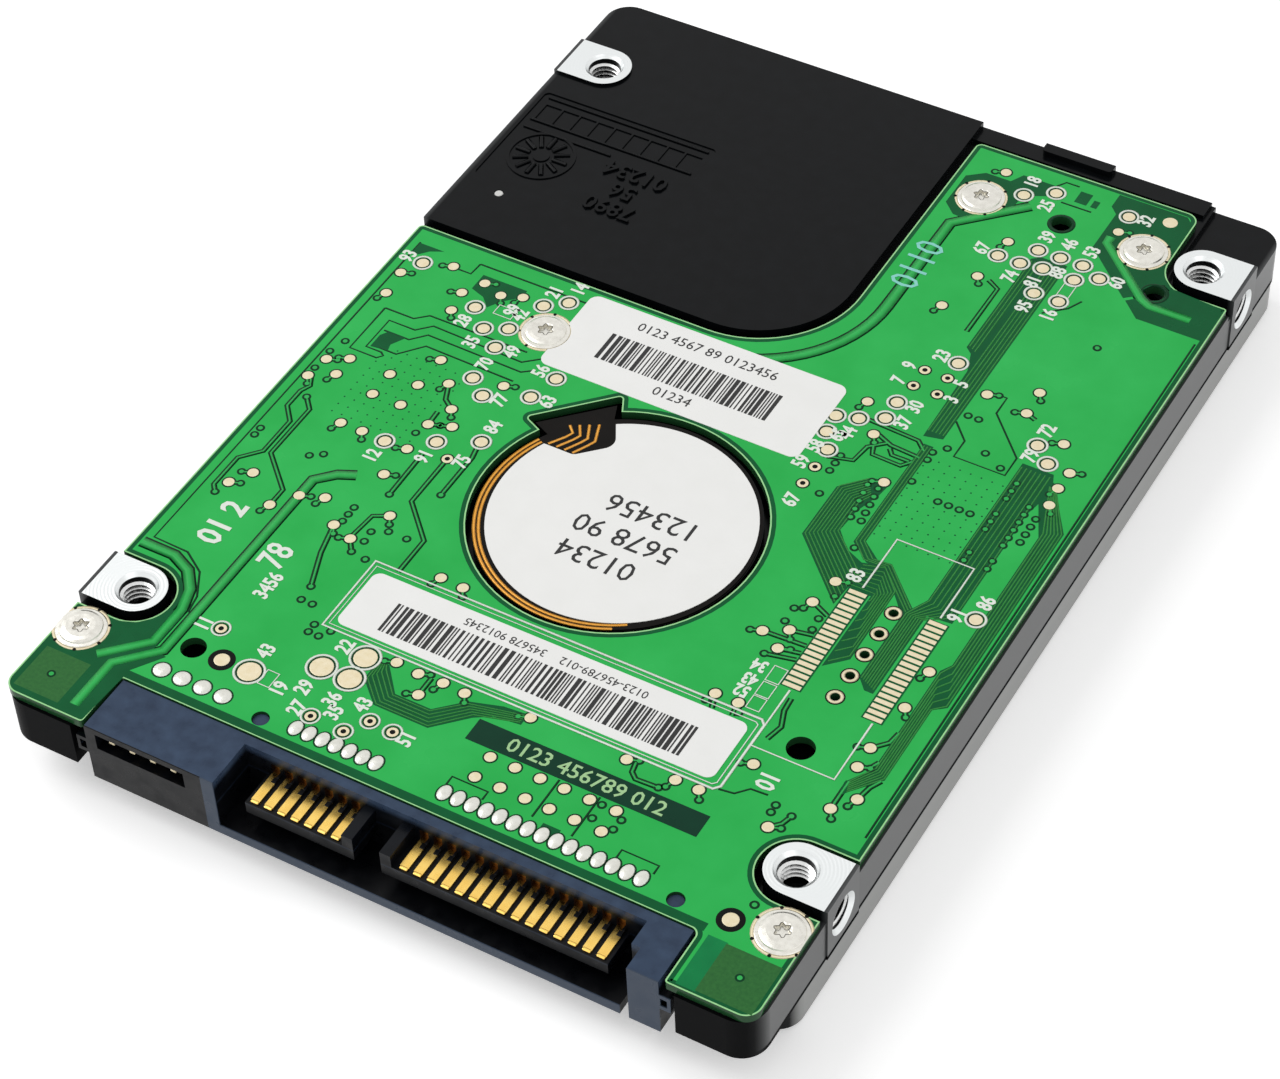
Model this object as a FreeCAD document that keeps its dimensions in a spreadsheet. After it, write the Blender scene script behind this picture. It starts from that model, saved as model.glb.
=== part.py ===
import FreeCAD, Part
import os

import Sketcher

# A 2.5-inch hard disk drive, 9.5 mm high, lying with its circuit board up. Millimetres.
# X runs across the drive, Y along it with the connector end at -Y, and Z up from the
# outer face of the cover, which is the side it lies on. The origin is under its middle.

V = FreeCAD.Vector
doc = FreeCAD.newDocument("hard_disk_drive")
sheet = doc.addObject("Spreadsheet::Sheet", "dim")

# ---------------------------------------------------------------- driving dimensions
SIZES = """
width 69.85            overall width, over the faces with the side mounting holes
length 100.2           overall length
height 9.5             from the cover to the machined mounting lugs

lug_inset 4.065        from the side face to the axis of a bottom mounting hole
lug_front 14.0         from the connector end to the front holes
lug_back 90.6          from the connector end to the back holes
lug_round 2.6          round end of a lug, and half its width
lug_rise 0.5           lugs above the circuit board
lug_wall 3.3           radius of the solid metal left round a lug inside the case
lug_proud 0.125        side faces of the lugs outside the case wall
thread_round 1.5       M3 mounting hole
thread_deep 3.0        depth of every mounting hole
thread_chamfer 0.35    countersink of a mounting hole
side_hole_drop 3.0     from the lug face down to the side holes

board_thick 0.8        circuit board
board_clear 1.2        room for the parts under the circuit board
board_inset 0.2        board edge inside the case wall
board_gap 0.65         board edge to a lug
rim 1.2                case rim that the board rests on

side_wall 1.9          side wall beside the clean space
back_wall 2.2          back wall behind the clean space
post_deep 5.6          screw posts that stand in from the side walls
post_half 3.2          half width of those posts
post_right 34.7        spindle to the right screw post, along
post_left 22.8         spindle to the left screw post, along
floor 0.8              thickness of the case over the disks
deck_drop 0.3          raised deck below the lugs
deck_gap 0.8           board edge to the raised deck
board_reach 23.8       spindle to the board's edge in front of the raised deck
board_short 2.7        back end of the drive to the board's back edge
plug_clear 0.4         case clear of the connector housing
plug_rim 5.5           case rim behind the connector
deck_wall 1.5          wall under the edge of the raised deck
ledge_drop 0.4         back ledge below the board's top
corner_drop 0.6        low back corner below the board's underside
shoulder 3.6           height where the case steps out over the cover's skirt
pedestal_low 3.0       end of the post that carries the stator
pedestal_round 3.9     radius of that post
seam 0.3               gap between the cover's skirt and that step
rim_inset 0.8          how far the case steps in above the cover
relief 0.12            depth of the cast relief
cell_pitch 1.9         spacing of the cast cells
cell_wide 1.7          width of a cast cell
clock_round 3.3        outside of the casting clock
breather_side 4.4      breather hole from the side wall
breather_back 6.0      breather hole from the deck's front edge
breather_bore 0.45     breather hole
tongue_left 5.3        left edge of the board's narrow back part
tongue_bend 10         bend of the board round the raised deck
case_corner 2.4        outer corner radius

cover_sheet 0.5        cover sheet
cover_gap 0.2          skirt clear of the case
dimple_round 2.3       dimple round a cover screw
screw_bite 2.6         thread of a cover screw in the case
corner_in 1.3          front cover screw inside its lug's hole, across
corner_front 3.1       front cover screw before its lug's hole
corner_back 4.0        back cover screw from the back end
label_recess 0.15      depth of the cover's label recess
label_side 9.0         label recess from the case's side wall
label_front 14.0       label recess from the case's front
label_back 8.0         label recess from the back end
label_border 0.6       cover label inside its recess
label_thick 0.1        cover label
sticker 0.06           thickness of the other labels
gasket_height 0.65     gasket between cover and case
gasket_width 0.45      width of the gasket
gasket_gap 0.05        gasket clear of the cavity edge

spindle_front 39.9     from the connector end to the spindle
disk_round 32.5        radius of a disk
disk_bore 10.0         radius of the hole in a disk
disk_thick 0.6         thickness of a disk
disk_space 1.9         between the two disks
disk_drop 1.15         from the cover to the first disk
disk_gap 0.4           disk edge clear of the case
run 0.04               running clearance of a shaft
clamp_thick 0.4        disk clamp
clamp_over 0.35        hub's face past the first disk
clamp_ring 6.0         radius of the ring of clamp screws
clamp_shank 0.5        clamp screw

pivot_left 14.0        spindle to the arm's pivot, across
pivot_back 40.2        spindle to the arm's pivot, along
head_reach 34.0        pivot to the heads
park_gap 2.0           parked heads outside the edge of the disks
swing 33               travel of the arm, degrees

slider_gap 0.07        head clear of the disk
slider_high 0.25       height of a head
spring_thick 0.1       suspension spring

magnet_in 8.0          inner radius of the voice coil magnets
magnet_out 15.8        outer radius of the voice coil magnets
yoke_out 16.1          outer radius of the yokes
yoke_thick 1.1         steel of a yoke
magnet_thick 1.2       voice coil magnet
coil_thick 1.9         voice coil
coil_half 19           half angle of the voice coil, degrees
coil_in 8.4            inner radius of the voice coil
coil_out 15.6          outer radius of the voice coil
post_ring 12           pivot to the yoke posts
yoke_post 1.0          radius of a yoke post
stop_round 1.6         crash stop round a yoke post
swing_wide 122         angle that the yokes cover
sleeve_wall 0.6        outer sleeve of the pivot bearing
pivot_round 1.5        pivot shaft
cartridge_round 3.5    pivot bearing
arm_hub 6.0            hub of the arm
arm_thick 0.5          outer arms
latch_reach 15.164     pivot to the latch's pin
latch_turn 247.436     latch's pin from the parked arm, degrees
latch_pin 0.5          radius of the latch's pin
film_thick 0.15        flex circuit
port_left 14.0         left side of the head connector
port_wide 7.0          head connector, across
port_long 5.0          head connector, along
port_back 1.5          pivot to the head connector, along

motor_round 12.3       motor seat on the outside of the case
motor_drop 0.4         motor seat below the board's top
motor_roof 1.0         metal over the motor's well
well_round 8.6         radius of the motor's well
sleeve_roof 0.7        metal over the bearing sleeve
ribbon_thick 0.1       the motor's ribbon
board_hole 12.8        hole in the board round the motor
hub_wall 0.9           wall of the motor hub
sleeve_round 3.2       bearing sleeve
shaft_round 1.6        motor shaft

plug_left 27.3         connector housing to the left of the middle
plug_wall 5.9          last power contact to the right side of the block
ear 1.0                ears beside the connector block
plug_back_wall 0.9     back wall of the connector's opening
plug_lip 1.0           lip under the tongues
tongue_set 1.3         tongues behind the board's front end
tongue_side 0.75       tongue past its outermost contact
key_wide 1.0           key at the end of a tongue
key_high 1.3           key above its tongue
plug_depth 5.6         depth of the connector housing
pitch 1.27             spacing of the connector's contacts
signal_first -11.05    first signal contact
power_first 2.92       first power contact
tongue_top 6.4         contact face of the tongues
tongue_thick 1.2       thickness of a tongue
contact_thick 0.2      contact strip
contact_wide 0.8       width of a contact
jumper_pitch 2.0       spacing of the jumper pins
jumper_first -24.1     first jumper pin
jumper_half 0.25       half width of a jumper pin
tail_half 0.2          half width of a solder tail
tail_proud 0.15        solder tail above the board
tail_back 7.9          solder tails, from the connector end
tail_bore 0.35         hole for a solder tail

screw_round 0.8        shank of every small screw
screw_head 1.6         head of a cover screw
board_head 1.85        head of a board screw
board_washer 2.2       washer face of a board screw
board_head_high 0.4    head of a board screw
washer_thick 0.12      washer face of a board screw
socket_round 0.7       hexagonal socket of a screw, over its corners, halved
"""

row = 0
for line in SIZES.strip().splitlines():
    words = line.split(None, 2)
    if not words:
        continue
    row += 1
    sheet.set("A%d" % row, words[0])
    sheet.set("B%d" % row, words[1])
    sheet.set("C%d" % row, words[2])
    sheet.setAlias("B%d" % row, words[0])
doc.recompute()


def number(expression):
    return float(sheet.evalExpression(str(expression)))


# ---------------------------------------------------------------- shared places
HALF = "dim.width / 2"
FRONT = "-dim.length / 2"
BACK = "dim.length / 2"
WALL_X = "(dim.width / 2 - dim.lug_proud)"
BOARD_X = "(dim.width / 2 - dim.lug_proud - dim.board_inset)"
LUG_X = "(dim.width / 2 - dim.lug_inset)"
LUG_YS = ["(dim.lug_front - dim.length / 2)", "(dim.lug_back - dim.length / 2)"]

BOARD_TOP = "(dim.height - dim.lug_rise)"
BOARD_UNDER = "(dim.height - dim.lug_rise - dim.board_thick)"
FLOOR_OUT = "(%s - dim.board_clear)" % BOARD_UNDER
FLOOR_IN = "(%s - dim.floor)" % FLOOR_OUT
DECK_TOP = "(dim.height - dim.deck_drop)"
DECK_IN = "(dim.height - dim.deck_drop - dim.floor)"
RIM_Z = "(dim.cover_sheet + dim.gasket_height)"
LABEL_Z = "(dim.cover_sheet + dim.label_recess)"

SPIN_Y = "(dim.spindle_front - dim.length / 2)"
PIVOT_X = "(-dim.pivot_left)"
PIVOT_Y = "(%s + dim.pivot_back)" % SPIN_Y
CAVITY = "(dim.disk_round + dim.disk_gap)"

DISK_A = "(dim.cover_sheet + dim.label_recess + dim.disk_drop)"
DISK_A_TOP = "(%s + dim.disk_thick)" % DISK_A
DISK_B = "(%s + dim.disk_space)" % DISK_A_TOP
DISK_B_TOP = "(%s + dim.disk_thick)" % DISK_B
HEAD_ROOM = "(dim.slider_gap + dim.slider_high + dim.spring_thick)"

BOARD_EDGE = "(%s + dim.board_reach)" % SPIN_Y
BOARD_BACK = "(dim.length / 2 - dim.board_short)"
PLUG_BACK = "(dim.plug_depth - dim.length / 2)"
TAIL_Y = "(dim.tail_back - dim.length / 2)"
HOUSE_L = "(dim.ear - dim.plug_left)"
HOUSE_R = "(dim.power_first + 14 * dim.pitch + dim.plug_wall)"
EAR_R = "(%s + dim.ear)" % HOUSE_R

# the arm is parked where its heads stand just outside the disks
SPAN = "(dim.pivot_left ^ 2 + dim.pivot_back ^ 2)"
PARK_OUT = "(dim.disk_round + dim.park_gap)"
PARK_BEND = "acos((%s + dim.head_reach ^ 2 - %s ^ 2) / (2 * sqrt(%s) * dim.head_reach))" % (SPAN, PARK_OUT,
    SPAN)
PARKED = "((%s - atan(dim.pivot_back / dim.pivot_left)) / 1 deg)" % PARK_BEND
SWING_MIDDLE = "(%s + 180 - dim.swing / 2)" % PARKED


# ---------------------------------------------------------------- how the pieces are made
def bind(thing, **sizes):
    """Bind properties of an object to expressions of the sheet."""
    for name, expression in sizes.items():
        thing.setExpression(name.replace("__", "."), str(expression))
    return thing


def place(thing, x="0", y="0", z="0", turn=None):
    """Place an object, turned about Z by an expression in degrees."""
    bind(thing, Placement__Base__x=x, Placement__Base__y=y, Placement__Base__z=z)
    if turn is not None:
        thing.Placement.Rotation = FreeCAD.Rotation(V(0, 0, 1), number(turn))
        bind(thing, Placement__Rotation__Angle=turn)
    return thing


def new_body(label):
    body = doc.addObject("PartDesign::Body", label)
    body.Label = label
    return body


def new_sketch(body, z, plane="XY_Plane"):
    """An empty sketch on one of the body's origin planes, raised by z."""
    sketch = body.newObject("Sketcher::SketchObject", body.Name + "_sketch")
    origin = [item for item in body.Origin.OriginFeatures if item.Role == plane][0]
    sketch.AttachmentSupport = [(origin, "")]
    sketch.MapMode = "FlatFace"
    return bind(sketch, AttachmentOffset__Base__z=z)


def pin(sketch, kind, items, expression):
    index = sketch.addConstraint(Sketcher.Constraint(kind, *items, number(expression)))
    sketch.setExpression("Constraints[%d]" % index, str(expression))


def draw_outline(sketch, corners):
    """A closed outline of (x, y) or (x, y, radius) corners, each held at its own place."""
    spots = [V(number(c[0]), number(c[1]), 0) for c in corners]
    rounds = [number(c[2]) if len(c) > 2 else 0.0 for c in corners]
    count = len(corners)
    ways = [(spots[(i + 1) % count] - spots[i]).normalize() for i in range(count)]
    starts, ends, arcs = [], [], {}
    for i in range(count):
        into, out = ways[i - 1], ways[i]
        back = rounds[i] * ((1 - into.dot(out)) / (1 + into.dot(out))) ** 0.5
        ends.append(spots[i] - into * back)
        starts.append(spots[i] + out * back)
    first = sketch.GeometryCount
    for i in range(count):
        sketch.addGeometry(Part.LineSegment(starts[i], ends[(i + 1) % count]), False)
    for i in range(count):
        before, after = first + (i - 1) % count, first + i
        x, y = corners[i][0], corners[i][1]
        if not rounds[i]:
            sketch.addConstraint(Sketcher.Constraint("Coincident", before, 2, after, 1))
            pin(sketch, "DistanceX", (-1, 1, after, 1), x)
            pin(sketch, "DistanceY", (-1, 1, after, 1), y)
            continue
        side = (ways[i] - ways[i - 1]).normalize()
        reach = rounds[i] / (((1 + ways[i - 1].dot(ways[i])) / 2) ** 0.5)
        middle = spots[i] + side * (reach - rounds[i])
        arc = sketch.addGeometry(Part.Arc(ends[i], middle, starts[i]), False)
        joins = [1, 2]
        if (sketch.getPoint(arc, 1) - ends[i]).Length > (sketch.getPoint(arc, 2) - ends[i]).Length:
            joins = [2, 1]
        corner = sketch.addGeometry(Part.Point(spots[i]), True)
        sketch.addConstraint(Sketcher.Constraint("Tangent", before, 2, arc, joins[0]))
        sketch.addConstraint(Sketcher.Constraint("Tangent", arc, joins[1], after, 1))
        sketch.addConstraint(Sketcher.Constraint("PointOnObject", corner, 1, before))
        sketch.addConstraint(Sketcher.Constraint("PointOnObject", corner, 1, after))
        pin(sketch, "DistanceX", (-1, 1, corner, 1), x)
        pin(sketch, "DistanceY", (-1, 1, corner, 1), y)
        pin(sketch, "Radius", (arc,), corners[i][2])
    return sketch


def draw_circles(sketch, circles):
    for x, y, r in circles:
        ring = sketch.addGeometry(Part.Circle(V(number(x), number(y), 0), V(0, 0, 1), number(r)))
        pin(sketch, "DistanceX", (-1, 1, ring, 3), x)
        pin(sketch, "DistanceY", (-1, 1, ring, 3), y)
        pin(sketch, "Radius", (ring,), r)
    return sketch


def feature(body, kind, sketch, length, **options):
    """One pad or pocket, which has to add or remove metal."""
    before = body.Shape.Volume if body.Tip else 0.0
    made = body.newObject("PartDesign::" + kind, body.Name + "_" + kind)
    made.Profile = sketch
    bind(made, Length=length)
    for name, value in options.items():
        setattr(made, name, value)
    body.Tip = made
    doc.recompute()
    change = body.Shape.Volume - before
    if kind == "Pocket":
        change = -change
    if change < 1e-6:
        raise RuntimeError("%s of %s changes nothing" % (made.Name, body.Label))
    return made


def pad(body, low, high, corners=None, circles=()):
    """Metal from low to high, inside an outline or circles."""
    sketch = new_sketch(body, low)
    if corners:
        draw_outline(sketch, corners)
    draw_circles(sketch, circles)
    return feature(body, "Pad", sketch, "(%s) - (%s)" % (high, low))


def pocket(body, low, high, corners=None, circles=()):
    """Everything inside an outline or circles is cut away from high down to low."""
    sketch = new_sketch(body, high)
    if corners:
        draw_outline(sketch, corners)
    draw_circles(sketch, circles)
    return feature(body, "Pocket", sketch, "(%s) - (%s)" % (high, low))


def turned(label, outline, x="0", y="0", sweep="360", turn="0"):
    """A body turned about the vertical axis through x, y; outline is (radius, z) corners."""
    body = place(new_body(label), x, y, "0", turn)
    sketch = new_sketch(body, "0", "XZ_Plane")
    draw_outline(sketch, outline)
    made = body.newObject("PartDesign::Revolution", label + "_turn")
    made.Profile = sketch
    made.ReferenceAxis = (sketch, ["V_Axis"])
    bind(made, Angle=sweep)
    body.Tip = made
    return body


def ring_outline(inner, outer, low, high):
    return [(inner, low), (outer, low), (outer, high), (inner, high)]


def bevel(body, size, test):
    """Chamfer the edges of the body that pass a test."""
    base = body.Tip
    names = ["Edge%d" % (i + 1) for i, edge in enumerate(base.Shape.Edges) if test(edge)]
    made = body.newObject("PartDesign::Chamfer", body.Name + "_bevel")
    made.Base = (base, names)
    bind(made, Size=size)
    body.Tip = made
    doc.recompute()
    return made


def cylinder(x, y, low, high, r):
    made = doc.addObject("Part::Cylinder", "round")
    bind(made, Radius=r, Height="(%s) - (%s)" % (high, low))
    return place(made, x, y, low)


def block(x0, x1, y0, y1, z0, z1):
    made = doc.addObject("Part::Box", "block")
    bind(made, Length="(%s) - (%s)" % (x1, x0), Width="(%s) - (%s)" % (y1, y0),
         Height="(%s) - (%s)" % (z1, z0))
    return place(made, x0, y0, z0)


def fuse(*things):
    made = doc.addObject("Part::MultiFuse", "fuse")
    made.Shapes = list(things)
    return made


def cut(base, *tools):
    made = doc.addObject("Part::Cut", "cut")
    made.Base = base
    made.Tool = tools[0] if len(tools) == 1 else fuse(*tools)
    return made


def group(label, things):
    """Several separate solids that are one node."""
    made = doc.addObject("Part::Compound", label)
    made.Links = list(things)
    made.Label = label
    return made


PARTS = []


def keep(thing, label=None):
    """List an object as one of the drive's pieces."""
    if label:
        thing.Label = label
    PARTS.append(thing)
    return thing


def mirrored_x(corners):
    return [("-(%s)" % c[0],) + tuple(c[1:]) for c in reversed(corners)]


# ---------------------------------------------------------------- the case
# One aluminium casting, painted black, with a flat rim that the cover seals against.
case = keep(new_body("base_casting"))
CASE_FRONT = PLUG_BACK
PLUG_L = "(-dim.plug_left - dim.plug_clear)"
PLUG_R = "(%s + dim.plug_clear)" % EAR_R
CAVE_X = "(%s - dim.side_wall)" % WALL_X
CAVE_BACK = "(dim.length / 2 - dim.back_wall)"
DECK_Y = "(%s + dim.deck_gap)" % BOARD_EDGE
DECK_X = "(dim.tongue_left - dim.deck_gap)"
TONGUE_R = "(%s - dim.lug_round - dim.board_gap)" % LUG_X
LUG_IN = "(%s - dim.lug_wall)" % LUG_X
LUG_BACK_LOW = "(%s - dim.lug_wall)" % LUG_YS[1]
POST_R = "(%s + dim.post_right)" % SPIN_Y
POST_L = "(%s + dim.post_left)" % SPIN_Y
POST_X = "(%s - dim.post_deep)" % CAVE_X
MOTOR_TOP = "(%s - dim.motor_drop)" % BOARD_TOP
MOTOR_ROOF = "(%s - dim.motor_roof)" % MOTOR_TOP
SLEEVE_TOP = "(%s - dim.sleeve_roof)" % MOTOR_TOP
BREATHER = ("(dim.breather_side - %s)" % WALL_X, "(%s + dim.breather_back)" % DECK_Y)

COVER_SCREWS = [
    ("(%s - dim.corner_in)" % LUG_X, "(%s - dim.corner_front)" % LUG_YS[0]),
    ("(dim.corner_in - %s)" % LUG_X, "(%s - dim.corner_front)" % LUG_YS[0]),
    (LUG_X, "(%s - dim.corner_back)" % BACK), ("(-%s)" % LUG_X, "(%s - dim.corner_back)" % BACK),
    ("(%s + 3)" % POST_X, POST_R), ("(-%s - 3)" % POST_X, POST_L),
    (PIVOT_X, PIVOT_Y),
]
BOARD_SCREWS = [
    ("(dim.tongue_left + 3.6)", "(%s - 6.8)" % BOARD_BACK),
    ("(%s - 2.6)" % TONGUE_R, "(%s - 6.7)" % BOARD_BACK),
    ("-17.1", "(%s - 7)" % BOARD_EDGE),
    ("(2 - %s)" % BOARD_X, "(%s + 8.5)" % FRONT), ("(%s - 2)" % BOARD_X, "(%s + 8.5)" % FRONT),
]


def cavity(grow):
    """The clean space inside the case, with its edge moved out by an expression."""
    g = "(%s)" % grow
    x, inner, back = "(%s + %s)" % (CAVE_X, g), "(%s + %s)" % (LUG_IN, g), "(%s + %s)" % (CAVE_BACK, g)
    lug, bend, soft = "(%s + %s)" % (LUG_BACK_LOW, g), "(dim.lug_wall - %s)" % g, "(1.5 - %s)" % g
    post, half = "(%s + %s)" % (POST_X, g), "(dim.post_half - %s)" % g
    # where the straight walls stand outside the disks' circle, the step between them is sealed too
    low = "(%s - (%s > %s + 0.01 ? %s : 0))" % (SPIN_Y, CAVE_X, CAVITY, g)
    right = [(x, low), (x, "%s - %s" % (POST_R, half)), (post, "%s - %s" % (POST_R, half), soft),
             (post, "%s + %s" % (POST_R, half), soft), (x, "%s + %s" % (POST_R, half)),
             (x, lug), (inner, lug, bend), (inner, back, "(2 + %s)" % g)]
    left = [(x, low), (x, "%s - %s" % (POST_L, half)), (post, "%s - %s" % (POST_L, half), soft),
            (post, "%s + %s" % (POST_L, half), soft), (x, "%s + %s" % (POST_L, half)),
            (x, lug), (inner, lug, bend), (inner, back, "(2 + %s)" % g)]
    return right + mirrored_x(left)


def frame_box(grow, radius):
    """The outline of the sealing rim, moved out by an expression."""
    x = "(%s - dim.rim_inset + (%s))" % (WALL_X, grow)
    low = "(%s + dim.rim_inset - (%s))" % (CASE_FRONT, grow)
    high = "(%s - dim.rim_inset + (%s))" % (BACK, grow)
    return [("-" + x, low, radius), (x, low, radius), (x, high, radius), ("-" + x, high, radius)]


def lug_outline(side, y):
    """A lug: round towards the middle of the drive and straight to the side face."""
    edge, inner, r = "(%s * %s)" % (side, HALF), "(%s * (%s - dim.lug_round))" % (side,
        LUG_X), "dim.lug_round"
    low, high = "(%s - %s)" % (y, r), "(%s + %s)" % (y, r)
    soft = "(%s - 0.02)" % r
    return [(edge, low), (edge, high), (inner, high, soft), (inner, low, soft)]


pad(case, RIM_Z, "dim.shoulder", frame_box("0", "(dim.case_corner - dim.rim_inset)"))
pad(case, "dim.shoulder", BOARD_UNDER, [
    ("-" + WALL_X, FRONT, "dim.case_corner"), (PLUG_L, FRONT), (PLUG_L, CASE_FRONT),
    (PLUG_R, CASE_FRONT), (PLUG_R, FRONT), (WALL_X, FRONT, "dim.case_corner"),
    (WALL_X, BACK, "dim.case_corner"), ("-" + WALL_X, BACK, "dim.case_corner")])
pad(case, BOARD_UNDER, DECK_TOP, [
    ("-" + WALL_X, DECK_Y), (DECK_X, DECK_Y, "(dim.tongue_bend - dim.deck_gap)"),
    (DECK_X, BACK), ("-" + WALL_X, BACK, "dim.case_corner")])
pad(case, BOARD_UNDER, "(%s - dim.ledge_drop)" % BOARD_TOP, [
    (DECK_X, "(%s + 0.7)" % BOARD_BACK), (TONGUE_R, "(%s + 0.7)" % BOARD_BACK),
    (TONGUE_R, BACK), (DECK_X, BACK)])
pad(case, BOARD_UNDER, DECK_TOP, [
    ("(%s + 6.5)" % DECK_X, "(%s - 1.1)" % BACK, "0.4"),
    ("(%s + 13.5)" % DECK_X, "(%s - 1.1)" % BACK, "0.4"),
    ("(%s + 13.5)" % DECK_X, BACK), ("(%s + 6.5)" % DECK_X, BACK)])
pocket(case, "(%s - dim.corner_drop)" % BOARD_UNDER, BOARD_UNDER, [
    ("(%s + 0.4)" % TONGUE_R, "(%s - dim.lug_wall)" % LUG_YS[1], "3"),
    ("(%s + 1)" % HALF, "(%s - dim.lug_wall)" % LUG_YS[1]),
    ("(%s + 1)" % HALF, "(%s + 1)" % BACK), ("(%s + 0.4)" % TONGUE_R, "(%s + 1)" % BACK)])
# the shallow space under the circuit board, open to the connector at the front
pocket(case, FLOOR_OUT, "(%s + 0.01)" % BOARD_UNDER, [
    (PLUG_L, "(%s - 1)" % CASE_FRONT), (PLUG_R, "(%s - 1)" % CASE_FRONT),
    (PLUG_R, "(%s + dim.plug_rim)" % CASE_FRONT, "1"),
    ("(%s - dim.rim)" % WALL_X, "(%s + dim.plug_rim)" % CASE_FRONT, "1"),
    ("(%s - dim.rim)" % WALL_X, "(%s - 4.2)" % LUG_YS[1], "1"),
    ("(%s - dim.rim)" % TONGUE_R, "(%s - 4.2)" % LUG_YS[1], "3"),
    ("(%s - dim.rim)" % TONGUE_R, "(%s - dim.rim)" % BOARD_BACK, "1"),
    ("(dim.tongue_left + dim.rim)", "(%s - dim.rim)" % BOARD_BACK, "1"),
    ("(dim.tongue_left + dim.rim)", "(%s - dim.rim)" % BOARD_EDGE, "(dim.tongue_bend + dim.rim)"),
    ("(dim.rim - %s)" % WALL_X, "(%s - dim.rim)" % BOARD_EDGE, "1"),
    ("(dim.rim - %s)" % WALL_X, "(%s + dim.plug_rim)" % CASE_FRONT, "1"),
    (PLUG_L, "(%s + dim.plug_rim)" % CASE_FRONT, "1")])
for side in ("-1", "1"):
    for lug_y in LUG_YS:
        pad(case, "dim.shoulder", "dim.height", lug_outline(side, lug_y))
pad(case, FLOOR_IN, BOARD_UNDER, circles=[(x, y, "dim.board_washer") for x, y in BOARD_SCREWS])
pad(case, FLOOR_IN, MOTOR_TOP, circles=[("0", SPIN_Y, "dim.motor_round")])

# the clean space inside, higher over the voice coil motor
pocket(case, "(%s - 0.5)" % RIM_Z, FLOOR_IN, circles=[("0", SPIN_Y, CAVITY)])
pocket(case, "(%s - 0.5)" % RIM_Z, FLOOR_IN, cavity("0"))
pocket(case, "(%s - 0.01)" % FLOOR_IN, DECK_IN, [
    ("-" + CAVE_X, "(%s + dim.deck_wall)" % DECK_Y, "1"),
    ("(%s - dim.deck_wall)" % DECK_X, "(%s + dim.deck_wall)" % DECK_Y,
     "(dim.tongue_bend - dim.deck_gap - dim.deck_wall)"),
    ("(%s - dim.deck_wall)" % DECK_X, CAVE_BACK, "2"), ("-" + LUG_IN, CAVE_BACK, "2"),
    ("-" + LUG_IN, LUG_BACK_LOW, "dim.lug_wall"), ("-" + CAVE_X, LUG_BACK_LOW)])
pocket(case, "(%s - 0.01)" % FLOOR_IN, MOTOR_ROOF, circles=[("0", SPIN_Y, "dim.well_round")])
pad(case, "dim.pedestal_low", "(%s + 0.01)" % MOTOR_ROOF, circles=[("0", SPIN_Y, "dim.pedestal_round")])
pocket(case, "(dim.pedestal_low - 0.01)", SLEEVE_TOP, circles=[("0", SPIN_Y, "dim.sleeve_round")])

# holes: mounting, board screws, cover screws, head connector and breather
for side in ("-1", "1"):
    pocket(case, "(dim.height - dim.thread_deep)", "dim.height",
           circles=[("(%s * %s)" % (side, LUG_X), lug_y, "dim.thread_round") for lug_y in LUG_YS])
    holes = new_sketch(case, "(%s * %s)" % (side, HALF), "YZ_Plane")
    draw_circles(holes,
                 [(lug_y, "(dim.height - dim.side_hole_drop)", "dim.thread_round") for lug_y in LUG_YS])
    feature(case, "Pocket", holes, "dim.thread_deep", Reversed=(side == "-1"))
pocket(case, "(%s - 0.2)" % FLOOR_OUT, BOARD_UNDER,
       circles=[(x, y, "dim.screw_round") for x, y in BOARD_SCREWS])
pocket(case, RIM_Z, "(%s + dim.screw_bite)" % RIM_Z,
       circles=[(x, y, "dim.screw_round") for x, y in COVER_SCREWS[:-1]])
PORT = ("dim.port_left", "(dim.port_left + dim.port_wide)", "(%s + dim.port_back)" % PIVOT_Y,
        "(%s + dim.port_back + dim.port_long)" % PIVOT_Y)
pocket(case, "(%s - 0.01)" % FLOOR_IN, FLOOR_OUT, [
    ("(%s - 0.1)" % PORT[0], "(%s - 0.1)" % PORT[2]), ("(%s + 0.1)" % PORT[1], "(%s - 0.1)" % PORT[2]),
    ("(%s + 0.1)" % PORT[1], "(%s + 0.1)" % PORT[3]), ("(%s - 0.1)" % PORT[0], "(%s + 0.1)" % PORT[3])])
pocket(case, DECK_IN, DECK_TOP, circles=[BREATHER + ("dim.breather_bore",)])

# cast relief on the raised deck: a shallow panel, a row of cells and a casting clock
PANEL_L, PANEL_R = "(0.8 - %s)" % WALL_X, "(19.3 - %s)" % WALL_X
PANEL_F, PANEL_B = "(%s + 7.4)" % DECK_Y, "(%s + 20.6)" % DECK_Y
PANEL_Z = "(%s - dim.relief)" % DECK_TOP
CLOCK = ("(5.1 - %s)" % WALL_X, "(%s + 12.4)" % DECK_Y)
pocket(case, PANEL_Z, DECK_TOP, [(PANEL_L, PANEL_F, "0.5"), (PANEL_R, PANEL_F, "0.5"),
                                 (PANEL_R, PANEL_B, "0.5"), (PANEL_L, PANEL_B, "0.5")])
cells = new_sketch(case, PANEL_Z)
for index in range(9):
    low = "(%s + 0.9 + %d * dim.cell_pitch)" % (PANEL_L, index)
    high = "(%s + dim.cell_wide)" % low
    draw_outline(cells, [(low, "(%s - 3.8)" % PANEL_B), (high, "(%s - 3.8)" % PANEL_B),
                         (high, "(%s - 1.5)" % PANEL_B), (low, "(%s - 1.5)" % PANEL_B)])
feature(case, "Pocket", cells, "dim.relief")
pad(case, PANEL_Z, DECK_TOP, circles=[CLOCK + ("dim.clock_round",), CLOCK + ("(dim.clock_round - 0.3)",)])
pad(case, PANEL_Z, DECK_TOP, circles=[CLOCK + ("0.8",)])


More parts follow.
